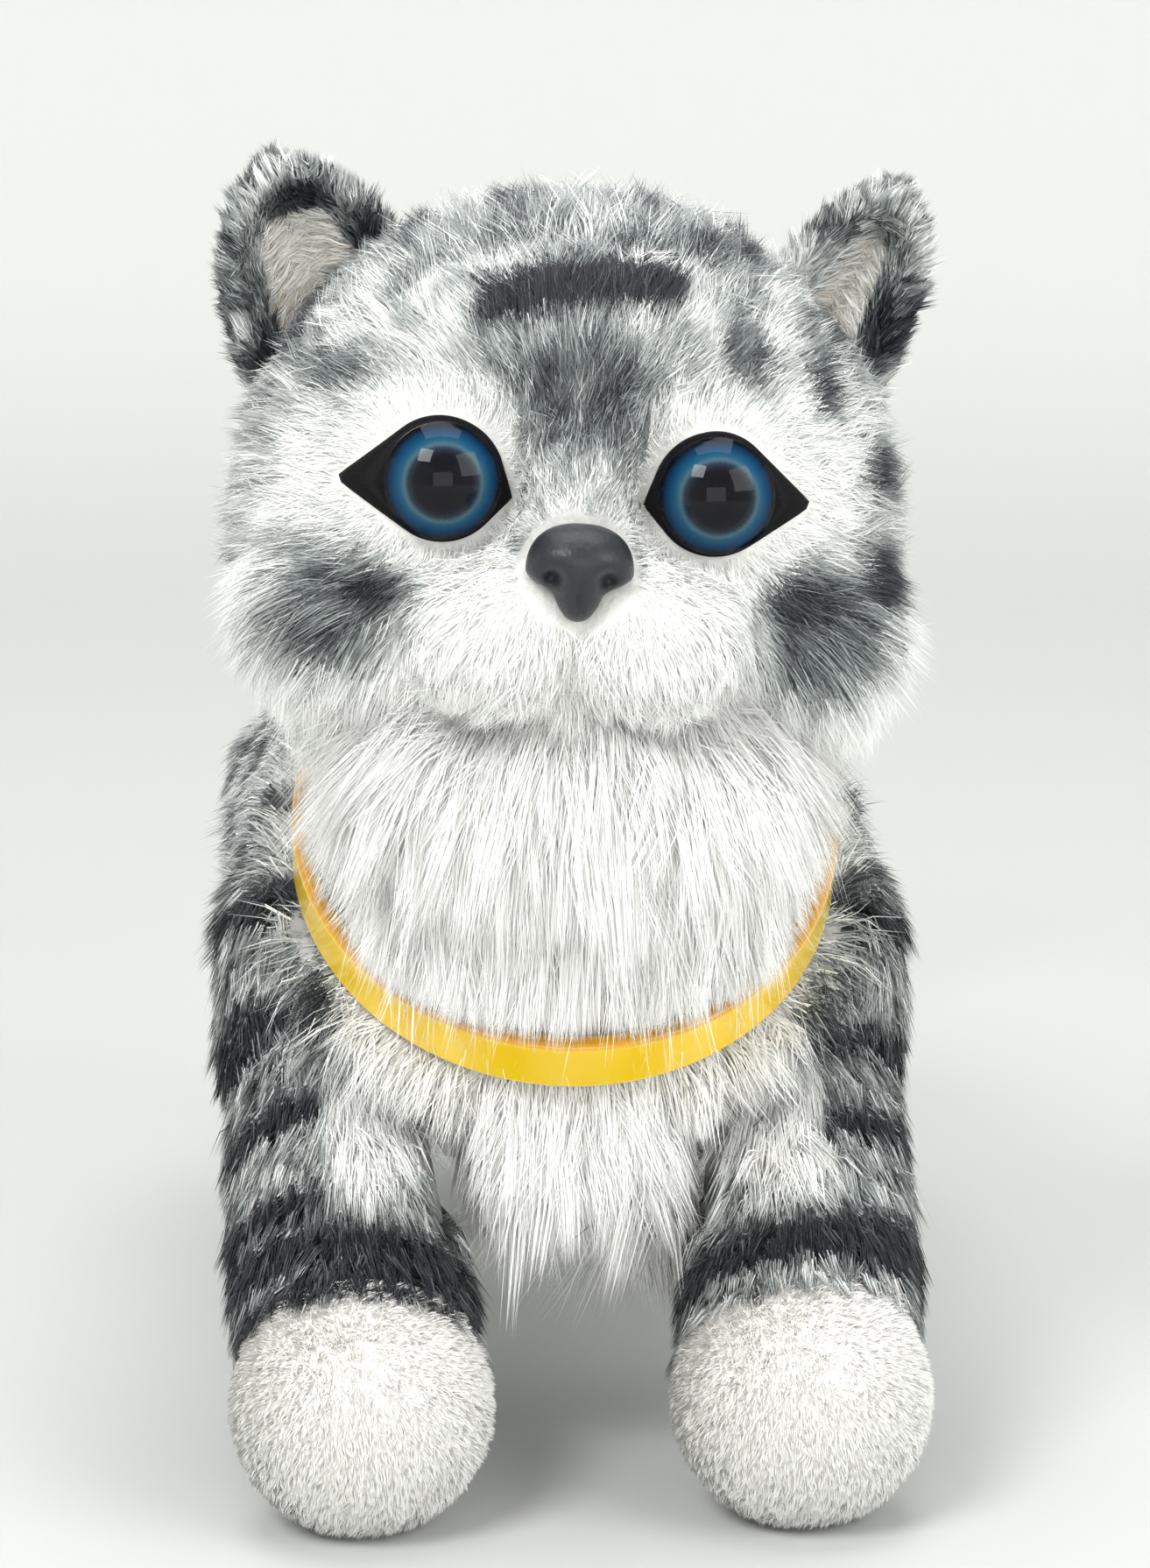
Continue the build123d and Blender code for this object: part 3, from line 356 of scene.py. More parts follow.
def scatter(skin, count, draw):
    """Random places on a skin, with its smooth normals there."""
    mesh = skin.data
    mesh.calc_loop_triangles()
    corners = np.empty(len(mesh.loop_triangles) * 3, np.int32)
    mesh.loop_triangles.foreach_get("vertices", corners)
    corners = corners.reshape(-1, 3)
    places, normals = vertices_of(mesh)
    a, b, c = (places[corners[:, k]] for k in range(3))
    area = np.linalg.norm(np.cross(b - a, c - a), axis=1)
    picked = draw.choice(len(corners), size=count, p=area / area.sum())
    r1, r2 = np.sqrt(draw.random(count)), draw.random(count)
    weights = np.stack([1 - r1, r1 * (1 - r2), r1 * r2], axis=1)[:, :, None]
    spots = (places[corners[picked]] * weights).sum(axis=1)
    return spots, unit((normals[corners[picked]] * weights).sum(axis=1))


# Collar: fur that meets the band ends at its edge
collar_middle = middle_of("collar")
collar_slope = math.radians(34.0)
collar_half_width = (box_mm("collar")[1][0] - box_mm("collar")[0][0]) / 2
# how much longer the collar is than wide
collar_stretch = 48.5 / 41.0
band_half_height = 4.25
band_clearance = 0.4


def collar_places(points):
    """Each point's place on the collar: how far out from its middle, 1 at the band, and how far above it."""
    x, y, z = (points - collar_middle).T
    along = (y * math.cos(collar_slope) + z * math.sin(collar_slope)) / collar_stretch
    above = z * math.cos(collar_slope) - y * math.sin(collar_slope)
    return np.hypot(x, along) / collar_half_width, above


def meets_collar(points):
    """True for points where fur would cross the band or hang in front of its lower half."""
    out, above = collar_places(points)
    through = (np.abs(above) < band_half_height + band_clearance) & (out > 0.88) & (out < 1.35)
    x, y, z = (points - collar_middle).T
    drop = np.sqrt(np.clip(1 - (x / collar_half_width) ** 2, 0, 1)) * collar_half_width * collar_stretch
    ahead = y < 3 - drop * math.cos(collar_slope)
    level = np.abs(z + drop * math.sin(collar_slope)) < np.where(drop < 18, 7.0, 4.2)
    return through | (ahead & level & (np.abs(x) < collar_half_width + 0.5) & (z < 2))


# Fur
def strand_mesh(name, rings, widths, sides, shade_normals, tones):
    """Flat tapering strands: rings holds root, bend and tip, tones the material of each half."""
    count = len(rings[0])
    points = np.empty((count, 5, 3))
    for k in range(2):
        points[:, 2 * k] = rings[k] - sides * widths[k][:, None]
        points[:, 2 * k + 1] = rings[k] + sides * widths[k][:, None]
    points[:, 4] = rings[2]
    first = (np.arange(count) * 5)[:, None]
    corners = first + np.array([[0, 1, 3, 2, 2, 3, 4]])
    made = bpy.data.meshes.new(name)
    made.vertices.add(count * 5)
    made.vertices.foreach_set("co", (points * MM).ravel())
    made.loops.add(count * 7)
    made.loops.foreach_set("vertex_index", corners.ravel().astype(np.int32))
    made.polygons.add(count * 2)
    starts = (np.arange(count) * 7)[:, None] + np.array([[0, 4]])
    made.polygons.foreach_set("loop_start", starts.ravel().astype(np.int32))
    made.polygons.foreach_set("material_index", tones.ravel().astype(np.int32))
    made.polygons.foreach_set("use_smooth", np.ones(count * 2, bool))
    made.update(calc_edges=True)
    made.normals_split_custom_set_from_vertices(np.repeat(shade_normals, 5, axis=0))
    for material in fur_materials:
        made.materials.append(material)
    return made


def tone_index(dark, draw, scatter_by):
    """The fur material for a darkness between 0 and 1, with some strands lighter and some darker."""
    level = dark * 5 + draw.normal(0, 1, len(dark)) * scatter_by
    return np.clip(np.round(level), 0, 5).astype(int)


# how much the combing direction varies, from clump to clump and from strand to strand
CLUMP_WANDER, STRAND_WANDER = 0.22, 0.10
# how much the lift varies in degrees, from strand to strand and from clump to clump
STRAND_LIFT_SPREAD, CLUMP_LIFT_SPREAD = 6, 5
STRAND_LENGTHS = (0.7, 1.1)
STRAND_TWIST = 1.2
# the share of the clumping that already shows at the strand's middle
BEND_CLUMP = 0.4
# millimetres that a root sits inside its skin, and that fur stays above the floor
ROOT_DEPTH = 0.4
FLOOR_GAP = 0.05
# the tip's width as a share of the root's
TIP_WIDTH = 0.8


def grow(name, skin, count, seed, body, field, shade, width=0.22, clump=0.45, droop=0.2,
         spacing=18, soft=0.75, over_band=0.03, ragged=0.15):
    """Fur over a skin. field gives, for places and normals, how much is kept, the combing direction,
    the lift in degrees, the length and any fixed tone. shade gives the printed darkness at a place.
    soft is how evenly the strands shade, over_band the share that may lie over the collar, and
    ragged how much the clumps differ in length.
    body None leaves the fur free, attached to no body."""
    draw = np.random.default_rng(seed)
    spots, normals = scatter(skin, count, draw)
    look = field(spots, normals)
    chosen = draw.random(count) < look["keep"]
    spots, normals = spots[chosen], normals[chosen]
    look = {key: value[chosen] for key, value in look.items()}
    number = len(spots)

    tree = kdtree.KDTree(len(range(0, number, spacing)))
    for place, k in enumerate(range(0, number, spacing)):
        tree.insert(spots[k], place)
    tree.balance()
    leader = np.array([tree.find(p)[1] for p in spots]) * spacing

    wander = draw.normal(0, CLUMP_WANDER, (number, 3))
    own = draw.normal(0, STRAND_WANDER, (number, 3))
    heading = unit(look["comb"]) + wander[leader] + own
    heading -= (heading * normals).sum(axis=1, keepdims=True) * normals
    heading = unit(heading)
    lift = look["lift"] + draw.normal(0, STRAND_LIFT_SPREAD, number)
    lift = np.radians(lift + draw.normal(0, CLUMP_LIFT_SPREAD, number)[leader])
    rise, level = np.sin(lift)[:, None], np.cos(lift)[:, None]
    grown = look["length"] * draw.uniform(*STRAND_LENGTHS, number)
    grown = grown * draw.uniform(1 - ragged, 1 + ragged, number)[leader]
    first = heading * level + normals * rise
    second = unit(heading * level + normals * rise * 0.55 + DOWN * droop)
    bend = spots + first * grown[:, None] * 0.5
    tip = bend + second * grown[:, None] * 0.5
    tip += (tip[leader] - tip) * clump
    bend += (bend[leader] - bend) * clump * BEND_CLUMP
    # the strand ends just before the lowest of nine points along it that meets the collar
    share = np.ones(number)
    for part in np.linspace(1.0, 0.0, 9):
        low_half = min(2 * part, 1.0)
        point = spots + (bend - spots) * low_half + (tip - bend) * max(2 * part - 1, 0.0)
        share[meets_collar(point)] = part - 0.06
    share[(draw.random(number) < over_band) & (share > 0.3)] = 1.0
    stop = np.where(share[:, None] > 0.5, bend + (tip - bend) * (2 * share[:, None] - 1),
                    spots + (bend - spots) * 2 * share[:, None])
    bend = np.where(share[:, None] < 1, (spots + stop) / 2, bend)
    tip = stop
    sunk = spots - normals * ROOT_DEPTH
    for ring in (sunk, bend, tip):
        ring[:, 2] = np.maximum(ring[:, 2], FLOOR_GAP)

    across = unit(np.cross(first, normals))
    angle = draw.uniform(-STRAND_TWIST, STRAND_TWIST, number)[:, None]
    sides = across * np.cos(angle) + np.cross(first, across) * np.sin(angle)
    faces = np.cross(sides, first)
    shade_normals = unit(normals * soft + faces * 0.35 + draw.normal(0, 0.08, (number, 3)))
    half = width / 2 * draw.uniform(0.75, 1.25, number)
    tones = np.empty((number, 2), int)
    # each half takes the print's shade at its own middle, more varied where the print is grey
    streak = draw.normal(0, 0.13, number)[leader] + draw.normal(0, 0.08, number)
    for half_way, spot in enumerate(((spots + bend) / 2, (bend + tip) / 2)):
        printed = shade(spot)
        printed = printed + streak * (0.12 + 3.5 * printed * np.clip(1 - printed, 0, 1))
        tones[:, half_way] = tone_index(printed, draw, 0.45)
    fixed = look["fixed"] >= 0
    tones[fixed] = look["fixed"][fixed, None]
    grown_out = share > 0.1
    rings = [ring[grown_out] for ring in (sunk, bend, tip)]
    half = half[grown_out]
    made = add_object(name, strand_mesh(name, rings, (half, half * TIP_WIDTH), sides[grown_out],
                                        shade_normals[grown_out], tones[grown_out]))
    if body:
        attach(made, body)
    return made


def coat(keep, comb, lift, length, fixed=-1):
    """One fur field, its plain numbers spread over all the places."""
    parts = {"keep": keep, "lift": lift, "length": length, "fixed": fixed}
    look = {key: np.broadcast_to(np.asarray(value, float), (len(comb),)) for key, value in parts.items()}
    look["fixed"] = look["fixed"].astype(int)
    look["comb"] = comb
    return look


def pile(keep, comb, lift, length, seed):
    """The short pile of a paw, part cream and part white."""
    tone = np.where(np.random.default_rng(seed).random(len(comb)) < 0.6, CREAM, 0)
    return coat(keep, comb, lift, length, tone)


def plain_white(spots):
    """The darkness of white fur: almost none, with a few shaded locks."""
    return -0.07 + 0.04 * ripple(spots, 5, 61)


# Head skin
# Cheeks, muzzle, chin, brow and bridge, each (centre, radii) in the head's own frame
head_forms = [
    ((0.8, 0, 0.8), (45.5, 42.5, 44.4)),
    ((-25, -13, -10), (17.5, 19, 15)), ((28, -13, -10), (18, 19, 15)),
    ((-9.5, -40, -10), (13, 12, 10.5)), ((9.5, -40, -10), (13, 12, 10.5)),
    ((0, -33, -18), (12, 9, 8)),
    ((0, -37, 4), (8.5, 11, 13)),
    ((0, -22, 24), (24, 17, 14)),
]
head_spin = Matrix.Rotation(head_tilt, 4, "Y")
balls = [ball_mesh(from_head(centre), radii, head_spin) for centre, radii in head_forms]
neck_low, neck_high = box_mm("neck_post")
post_room = add_object("post_room", ball_mesh((0, (neck_low[1] + neck_high[1]) / 2 + 2, 98),
                                              (15, 21, 26)))
head_skin = fused("head_skin", balls, 1.3, 4, cut=post_room)
bpy.data.objects.remove(post_room)

places, _ = vertices_of(head_skin.data)
local = to_head(places)
for sign in (-1, 1):
    away = np.hypot(local[:, 0] - sign * eye_x, local[:, 2] - eye_z)
    hollow = fade(9.0, 15.5, away) * (local[:, 1] < -20)
    local[:, 1] += np.maximum(-36.6 - local[:, 1], 0) * hollow
# the mouth: a short upright crease under the nose and the fold below each side of the muzzle
front = local[:, 1] < -30
crease = np.exp(-(local[:, 0] / 1.6) ** 2) * blot(local[:, 0], local[:, 2], (0, -12), (4, 6))
fold = np.exp(-((local[:, 2] + 17.5 + 0.025 * local[:, 0] ** 2) / 1.8) ** 2)
fold *= fade(7, 13, np.abs(local[:, 0]))
local[:, 1] += front * (1.4 * crease + 0.2 * fold)
move_vertices(head_skin.data, from_head(local))
head_tree = BVHTree.FromPolygons([tuple(p) for p in local],
                                 [tuple(f.vertices) for f in head_skin.data.polygons])


def face_depth(x, z):
    """How far forward the face's skin is, in the head's frame."""
    hit = head_tree.ray_cast(Vector((x, -80, z)), Vector((0, 1, 0)))[0]
    return hit.y if hit else -30.0


felt_radius = eye_radius + 0.3


def almond(angle):
    """The edge of the eye's felt surround as (outward, up) from the eye's centre, in millimetres."""
    reach = felt_radius
    for far, lean in ((14.2, -0.09), (9.7, math.pi + 0.20)):
        turn = math.acos(felt_radius / far)
        off = (angle - lean + math.pi) % (2 * math.pi) - math.pi
        if abs(off) < turn:
            reach = felt_radius / math.cos(abs(off) - turn)
    return reach * math.cos(angle), reach * math.sin(angle)


almond_edge = np.array([almond(a) for a in np.linspace(-np.pi, np.pi, 96, endpoint=False)])


def eye_clearance(local_points):
    """For each point of the head: the distance outside the nearer eye's surround, and its direction."""
    best = np.full(len(local_points), 99.0)
    away = np.zeros_like(local_points)
    for sign in (-1, 1):
        out = (local_points[:, 0] - sign * eye_x) * sign
        up = local_points[:, 2] - eye_z
        angle = np.arctan2(up, out)
        edge_angle = np.arctan2(almond_edge[:, 1], almond_edge[:, 0])
        order = np.argsort(edge_angle)
        edge = np.interp(angle, edge_angle[order], np.hypot(*almond_edge.T)[order], period=2 * np.pi)
        gap = np.hypot(out, up) - edge
        gap[local_points[:, 1] > -12] = 99
        nearer = gap < best
        best[nearer] = gap[nearer]
        away[nearer] = np.stack([out * sign, np.zeros(len(out)), up], axis=1)[nearer]
    return best, unit(away)


def front_view(local):
    """Head points as seen from in front and a little above."""
    depth = local[:, 1] + 44.5
    return local[:, 0] * (1 - 0.0016 * depth), local[:, 2] + 0.16 * depth


# the head's dark patches as seen from in front: middle, radii, turn and darkness
HEAD_BLOTS = (
    ((-33.0, 26.0), (5.0, 3.6), 0.4, 0.40), ((22.5, 31.0), (3.6, 8.0), 0.4, 0.46),
    ((19.0, 47.0), (8.0, 3.4), -0.2, 0.42), ((-31.5, -8.5), (12.5, 9.5), 0.5, 0.74),
    ((-25.0, -5.0), (5.0, 3.4), 0.6, 0.34), ((35.5, -8.0), (11.0, 12.5), -0.3, 0.74),
    ((-39.0, 1.0), (6.0, 2.6), 0.1, 0.30), ((29.5, -3.0), (6.0, 4.0), -0.5, 0.34),
    ((-10.5, 1.0), (4.4, 3.2), 0.5, 0.36), ((11.5, 0.0), (5.0, 3.2), -0.4, 0.36),
    ((43.5, 17.0), (3.5, 4.5), 0.0, 0.75), ((45.0, 1.0), (3.5, 5.0), 0.0, 0.75),
    ((43.5, 9.0), (4.0, 12.0), 0.0, 0.35), ((-44.0, 12.0), (4.0, 8.0), 0.0, 0.25),
)


def head_dark(local):
    """The printed pattern of the head, 0 white to 1 black."""
    u, v = front_view(local)
    behind = smooth_step(-22, 0, local[:, 1])
    top = smooth_step(10, 24, v) * (1 - smooth_step(30, 44, np.abs(u)) * 0.5)
    dark = 0.02 + 0.24 * top + 0.16 * top * ripple(local, 9, 3)
    dark += 0.30 * blot(u, v, (1.5, 23), (15, 15)) + 0.20 * blot(u, v, (6, 21), (6, 8))
    dark += 0.22 * blot(u, v, (-7, 22), (4, 8), 0.3)
    dark += 0.20 * blot(u, v, (0, 9), (9, 9))
    dark += 0.22 * blot(u, v, (0, 47), (26, 9))
    for centre, radii, turn, amount in HEAD_BLOTS:
        dark += amount * blot(u, v, centre, radii, turn)
    # the stripe across the forehead and the line down from the right ear
    arch = 38.9 - 0.0095 * (u - 7) ** 2
    dark += 0.95 * fade(2.6, 4.6, np.abs(v - arch)) * fade(12, 16, np.abs(u + 1))
    line = 33.5 + 0.33 * (31 - v) * 0.6
    dark += 0.6 * fade(1.2, 3.0, np.abs(u - line)) * blot(u, v, (34, 31), (9, 9))
    # white brows and sockets, white muzzle and chin
    gap, _ = eye_clearance(local)
    socket = fade(3.5, 9.0, gap)
    dark = dark * (1 - 0.75 * socket * (np.abs(u) > 9))
    muzzle = blot(u, v, (0, -13), (25, 12.5))
    dark = dark * (1 - muzzle * (1 - 0.7 * blot(u, v, (0, 1), (15, 5))))
    dark = dark * smooth_step(-30, -14, v)
    # tabby bands on the back of the head
    stripes = bands(np.abs(local[:, 0]) + 0.12 * local[:, 2], 0, 0.7 * ripple(local, 30, 5), 13.0)
    rear = (0.40 + 0.50 * stripes) * smooth_step(-30, -14, local[:, 2])
    return np.clip(dark * (1 - behind) + rear * behind + 0.05 * ripple(local, 6, 8), 0, 1)


paint_tone(head_skin, head_dark(to_head(vertices_of(head_skin.data)[0])))
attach(head_skin, "head")
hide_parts("head_cover")

nose_root = np.array([0.0, -46.0, 1.0])


def head_field(spots, normals):
    """Fur of the head: short by the nose, combed out over the face, long at the cheeks and chin."""
    local, turned = to_head(spots), normals @ head_turn
    u, v = front_view(local)
    comb = unit(local - nose_root)
    low = smooth_step(2, -16, v)
    comb = unit(comb + np.outer(low, [0, 0, -0.9]))
    gap, away = eye_clearance(local)
    near = fade(0.0, 9.0, gap)[:, None]
    comb = unit(comb * (1 - 0.85 * near) + away * near)
    reach = np.linalg.norm(local - nose_root, axis=1)
    length = 3.5 + 6.5 * smooth_step(8, 44, reach)
    length += 3.5 * smooth_step(20, 36, np.abs(u)) * smooth_step(6, -12, v)
    length += 11.0 * smooth_step(-14, -28, v) + 2.0 * smooth_step(34, 44, v)
    length = np.minimum(length, 2.4 + 0.9 * np.maximum(gap, 0))
    length = np.minimum(length, 2.6 + 0.5 * np.maximum(reach - 6, 0))
    lift = 20 + 9 * smooth_step(26, 44, np.abs(u)) + 8 * smooth_step(30, 44, v) - 6 * smooth_step(-14, -24, v)
    nose_gap = np.hypot(local[:, 0] / 7.6, (local[:, 2] - nose_middle[2]) / 7.2)
    bare = (gap < 0.3) | ((nose_gap < 1.0) & (local[:, 1] < -38))
    under = (turned[:, 2] < -0.75) & (local[:, 2] < -30)
    keep = np.where(bare | under, 0.0, 1.0)
    return coat(keep, comb @ head_turn.T, lift, length)


# Nose
low, high = box_mm("nose")
nose_middle = to_head(np.array([[(low[0] + high[0]) / 2, low[1] + 5, (low[2] + high[2]) / 2]]))[0]


nose_half_width, nose_half_height, nose_depth = 7.3, 6.6, 5.6


def nose_point(around, up):
    """A point on the nose: wide and rounded above, narrow below, with two nostrils."""
    tilt, turn = up * math.pi - math.pi / 2, around * 2 * math.pi
    x, y, z = math.cos(tilt) * math.sin(turn), -math.cos(tilt) * math.cos(turn), math.sin(tilt)
    narrow = float(smooth_step(0.02, -0.42, z))
    x = nose_half_width * math.copysign(abs(x) ** 0.84, x) * (1 - 0.52 * narrow - 0.14 * max(-z - 0.42, 0))
    z = nose_half_height * math.copysign(abs(z) ** 0.85, z)
    y *= nose_depth - 0.9 * narrow + 0.6 * math.exp(-((z - 3) / 2.5) ** 2)
    if y < 0:
        for sign in (-1, 1):
            y += 3.2 * math.exp(-(((x - sign * 3.7) / 1.35) ** 2 + ((z + 0.6) / 1.25) ** 2))
        y += 0.7 * math.exp(-(x / 0.5) ** 2) * float(smooth_step(0.5, -2.5, z))
    return x, y, z


across, tall = 96, 64
grid = [nose_point(i / across, j / tall) for j in range(tall + 1) for i in range(across)]
nose_front = face_depth(0, nose_middle[2]) - 2.2
nose_places = from_head(np.array(grid) + [0, nose_front, nose_middle[2]])
nose_mesh = mesh_from("nose_moulding", nose_places, quads(tall + 1, across))
weld = bmesh.new()
weld.from_mesh(nose_mesh)
bmesh.ops.remove_doubles(weld, verts=weld.verts, dist=0.00002)
bmesh.ops.recalc_face_normals(weld, faces=weld.faces)
weld.to_mesh(nose_mesh)
weld.free()
nose_mesh.shade_smooth()
nose_skin = add_object("nose_moulding", nose_mesh,
                       grained("nose_satin", (0.020, 0.022, 0.026), 0.38, 1400, 0.35,
                               Specular_IOR_Level=0.35))
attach(nose_skin, "head")
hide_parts("nose")


# Felt eye surrounds
# how far forward the felt's inner edge is held, in the head's frame
felt_depth = -39.2
felt = grained("eye_felt", (0.006, 0.006, 0.007), 0.9, 2600, 0.9, Specular_IOR_Level=0.15)
for side, sign in OUTWARD.items():
    rows = []
    for share in (0.0, 0.25, 0.5, 0.75, 0.93, 1.0):
        row = []
        for out, up in almond_edge:
            inner = np.array([out, up]) / math.hypot(out, up) * (eye_radius - 0.7)
            x, z = inner * (1 - share) + np.array([out, up]) * share
            x = sign * (eye_x + x)
            z = eye_z + z
            over = 1.0 if share < 0.9 else (0.8 if share < 1 else -0.3)
            deep = face_depth(x, z) - over
            held = felt_depth + max(math.hypot(x - sign * eye_x, z - eye_z) - eye_radius, 0)
            row.append((x, min(deep, held) if share < 0.5 else deep, z))
        rows.append(row)
    faces = quads(len(rows), len(almond_edge))
    if sign > 0:
        faces = [face[::-1] for face in faces]
    points = from_head(np.array([p for row in rows for p in row]))
    rim = add_object(f"{side}_eye_felt", mesh_from(f"{side}_eye_felt", points, faces), felt)
    thickened(rim, 0.6)
    rim.data.materials.clear()
    rim.data.materials.append(felt)
    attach(rim, "head")
    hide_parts(f"{side}_eye_surround")


# Body skin
body_skin = fused("body_skin", [node_mesh("body_cover")], 1.6, 6)
shell_low = np.minimum(box_mm("lower_shell")[0], box_mm("upper_shell")[0])
shell_high = np.maximum(box_mm("lower_shell")[1], box_mm("upper_shell")[1])


def outside_shell(spots, gap):
    """True for places clear of the hard body shell, so not on the cover's hidden inner face."""
    return ((spots < shell_low - gap) | (spots > shell_high + gap)).any(axis=1)


def body_dark(spots):
    """The printed pattern of the body: grey with black curved bands, white chest and belly."""
    x, y, z = spots.T
    stripes = bands(y, 7 * np.sin(z / 16.0), 0.7 * ripple(spots, 40, 11), 21.0)
    ridge = fade(3.5, 8, np.abs(x)) * smooth_step(96, 108, z) * smooth_step(-50, -30, y)
    dark = 0.40 + 0.10 * ripple(spots, 10, 12) + 0.58 * np.maximum(stripes, ridge)
    chest = smooth_step(-78, -88, y) * fade(30, 37, np.abs(x) - 0.12 * (z - 60))
    belly = smooth_step(48, 40, z)
    return np.clip(dark * (1 - chest) * (1 - 0.85 * belly) + 0.03 * chest, 0, 1)


def body_field(spots, normals):
    """Fur combed back and down, none in the belly's window and little under the head."""
    x, y, z = spots.T
    front = smooth_step(-72, -92, y)
    comb = unit(np.stack([0.25 * np.sign(x), 0.9 * (1 - front), -0.35 - 0.9 * front], axis=1))
    belly = smooth_step(50, 40, z)
    length = 10.5 - 5.5 * belly + 3 * front
    keep = np.where(outside_shell(spots, 1.2), 1.0, 0.0)
    window = (np.abs(x) < 21.5) & (z < 46) & (y > -60) & (y < 54)
    keep = np.where(window, 0.0, keep)
    hidden = (spots[:, 2] > 84) & (np.linalg.norm(to_head(spots), axis=1) < 50) & (y > -96)
    keep = np.where(hidden, 0.15, keep)
    return coat(keep, comb, 26, length)


paint_tone(body_skin, body_dark(vertices_of(body_skin.data)[0]))
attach(body_skin, "body")
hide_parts("body_cover")


# Legs
def leg_axis(side, end):
    """The leg's pivot and the middle of its paw, in millimetres."""
    joint = next(j for j in frame["joints"] if j["name"] == f"{side}_{end}_swing")
    pivot = np.array(joint["pos_m"]) / MM
    low, high = box_mm(f"{side}_{end}_leg_cover")
    if end == "front":
        return pivot, np.array([(low[0] + high[0]) / 2, low[1] + 18, 17.5])
    return pivot, np.array([(low[0] + high[0]) / 2, low[1] + 26, 13.6])


def bib(spots):
    """1 on the white chest, which spreads over the tops of the forelegs below the collar."""
    x, y, z = spots.T
    return smooth_step(-72, -80, y) * smooth_step(42, 49, z) * fade(34, 39, np.abs(x))


def fore_dark(spots, pivot, paw):
    """The printed pattern of a foreleg with a black cuff, and how far past the paw's middle each spot is."""
    axis = unit(paw - pivot)
    along = (spots - paw) @ axis
    wave = bands(along, 0.15 * spots[:, 0], 0.5 * ripple(spots, 26, 21), 17.0)
    dark = 0.48 + 0.5 * wave + 0.10 * ripple(spots, 8, 22)
    cuff = fade(2, 8, np.abs(along + 15.5)) * smooth_step(-8, 6, spots[:, 2] - paw[2])
    return np.clip(np.maximum(dark, 0.98 * cuff), 0, 1) * (1 - bib(spots)), along


def hind_dark(spots):
    """The printed pattern of a hind leg, and 1 on its white foot."""
    wave = bands(spots[:, 1], 0.5 * spots[:, 2], 0.6 * ripple(spots, 30, 31), 20.0)
    dark = 0.42 + 0.55 * wave + 0.10 * ripple(spots, 8, 32)
    foot = fade(24, 32, spots[:, 2])
    return np.clip(dark * (1 - foot), 0, 1), foot


for side in ("left", "right"):
    sign = OUTWARD[side]
    for end in ("front", "hind"):
        body = f"{side}_{end}_leg"
        pivot, paw = leg_axis(side, end)
        skin = fused(f"{side}_{end}_leg_skin", [node_mesh(f"{side}_{end}_leg_cover")], 1.3, 7)
        spots, _ = vertices_of(skin.data)
        dark, along = fore_dark(spots, pivot, paw)
        paint_tone(skin, np.where(along > -8, 0.0, dark) if end == "front" else hind_dark(spots)[0])
        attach(skin, body)
        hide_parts(f"{side}_{end}_leg_cover")
        limb, tree = unit(paw - pivot), skin_tree(skin)

        def outer(spots, normals):
            """The part of a leg's skin that shows, not its face against the body or its hidden inside."""
            inward = (sign * normals[:, 0] < -0.7) & (np.abs(spots[:, 0]) < 27.5) & (spots[:, 2] > 40)
            return ~inward & in_the_open(tree, spots, normals)

        if end == "front":
            def leg_field(spots, normals):
                along = fore_dark(spots, pivot, paw)[1]
                keep = outer(spots, normals) & (along < -9 + 1.5 * ripple(spots, 7, 23))
                length = 8.5 - 3.0 * smooth_step(-22, -9, along) + 4.0 * bib(spots)
                return coat(keep, np.tile(limb + [0, 0, -0.2], (len(spots), 1)), 26, length)

            def leg_shade(spots):
                return fore_dark(spots, pivot, paw)[0]

            def paw_field(spots, normals):
                keep = outer(spots, normals) & (fore_dark(spots, pivot, paw)[1] > -10.5)
                return pile(keep, [0.0, -0.3, -1.0] + 0.8 * normals[:, [2, 0, 1]], 60, 1.7, 77)
        else:
            def leg_field(spots, normals):
                keep = outer(spots, normals) * (1 - hind_dark(spots)[1])
                return coat(keep, np.tile([0.0, 0.35, -1.0], (len(spots), 1)), 26, 8.5)

            def leg_shade(spots):
                return hind_dark(spots)[0]

            def paw_field(spots, normals):
                keep = outer(spots, normals) * hind_dark(spots)[1]
                return pile(keep, [0.0, -0.8, -0.6] + 0.6 * normals[:, [2, 0, 1]], 56, 2.0, 78)

        seed = 400 + 10 * (side == "left") + 5 * (end == "hind")
        grow(f"{side}_{end}_leg_fur", skin, 95000, seed, body, leg_field, leg_shade)
        grow(f"{side}_{end}_paw_pile", skin, 150000, seed + 1, body, paw_field, plain_white,
             width=0.17, clump=0.3, droop=0.0, spacing=16, soft=1.8)


# Coats of the head and body
def head_shade(spots):
    """The head's printed pattern at places of the row frame."""
    return head_dark(to_head(spots))


for part in range(4):
    grow(f"head_fur_{part + 1}", head_skin, 68000, 100 + part, "head", head_field, head_shade, width=0.16)
for part in range(3):
    grow(f"body_fur_{part + 1}", body_skin, 101000, 200 + part, "body", body_field, body_dark)


# Ears
ear_height, ear_cup, ear_curl = 31.0, 7.5, 4.5
ear_half_width = {"left": 13.0, "right": 9.6}
# how far each ear stands across and above the middle of its own part, in millimetres
ear_shift = {"left": (0.0, 2.0), "right": (2.0, 4.5)}


def ear_frame(side):
    """The ear's root in the head's frame, and its across, up and front directions."""
    low, high = box_mm(f"{side}_ear")
    lean = math.radians(24.0)
    root = to_head(np.array([(low + high) / 2]))[0]
    up = np.array([OUTWARD[side] * math.sin(lean), 0.0, math.cos(lean)])
    along, above = ear_shift[side]
    root = root - up * 15.0 + np.array([along, 0.0, above])
    return root, np.array([up[2], 0.0, -up[0]]), up, np.array([0.0, -1.0, 0.0])


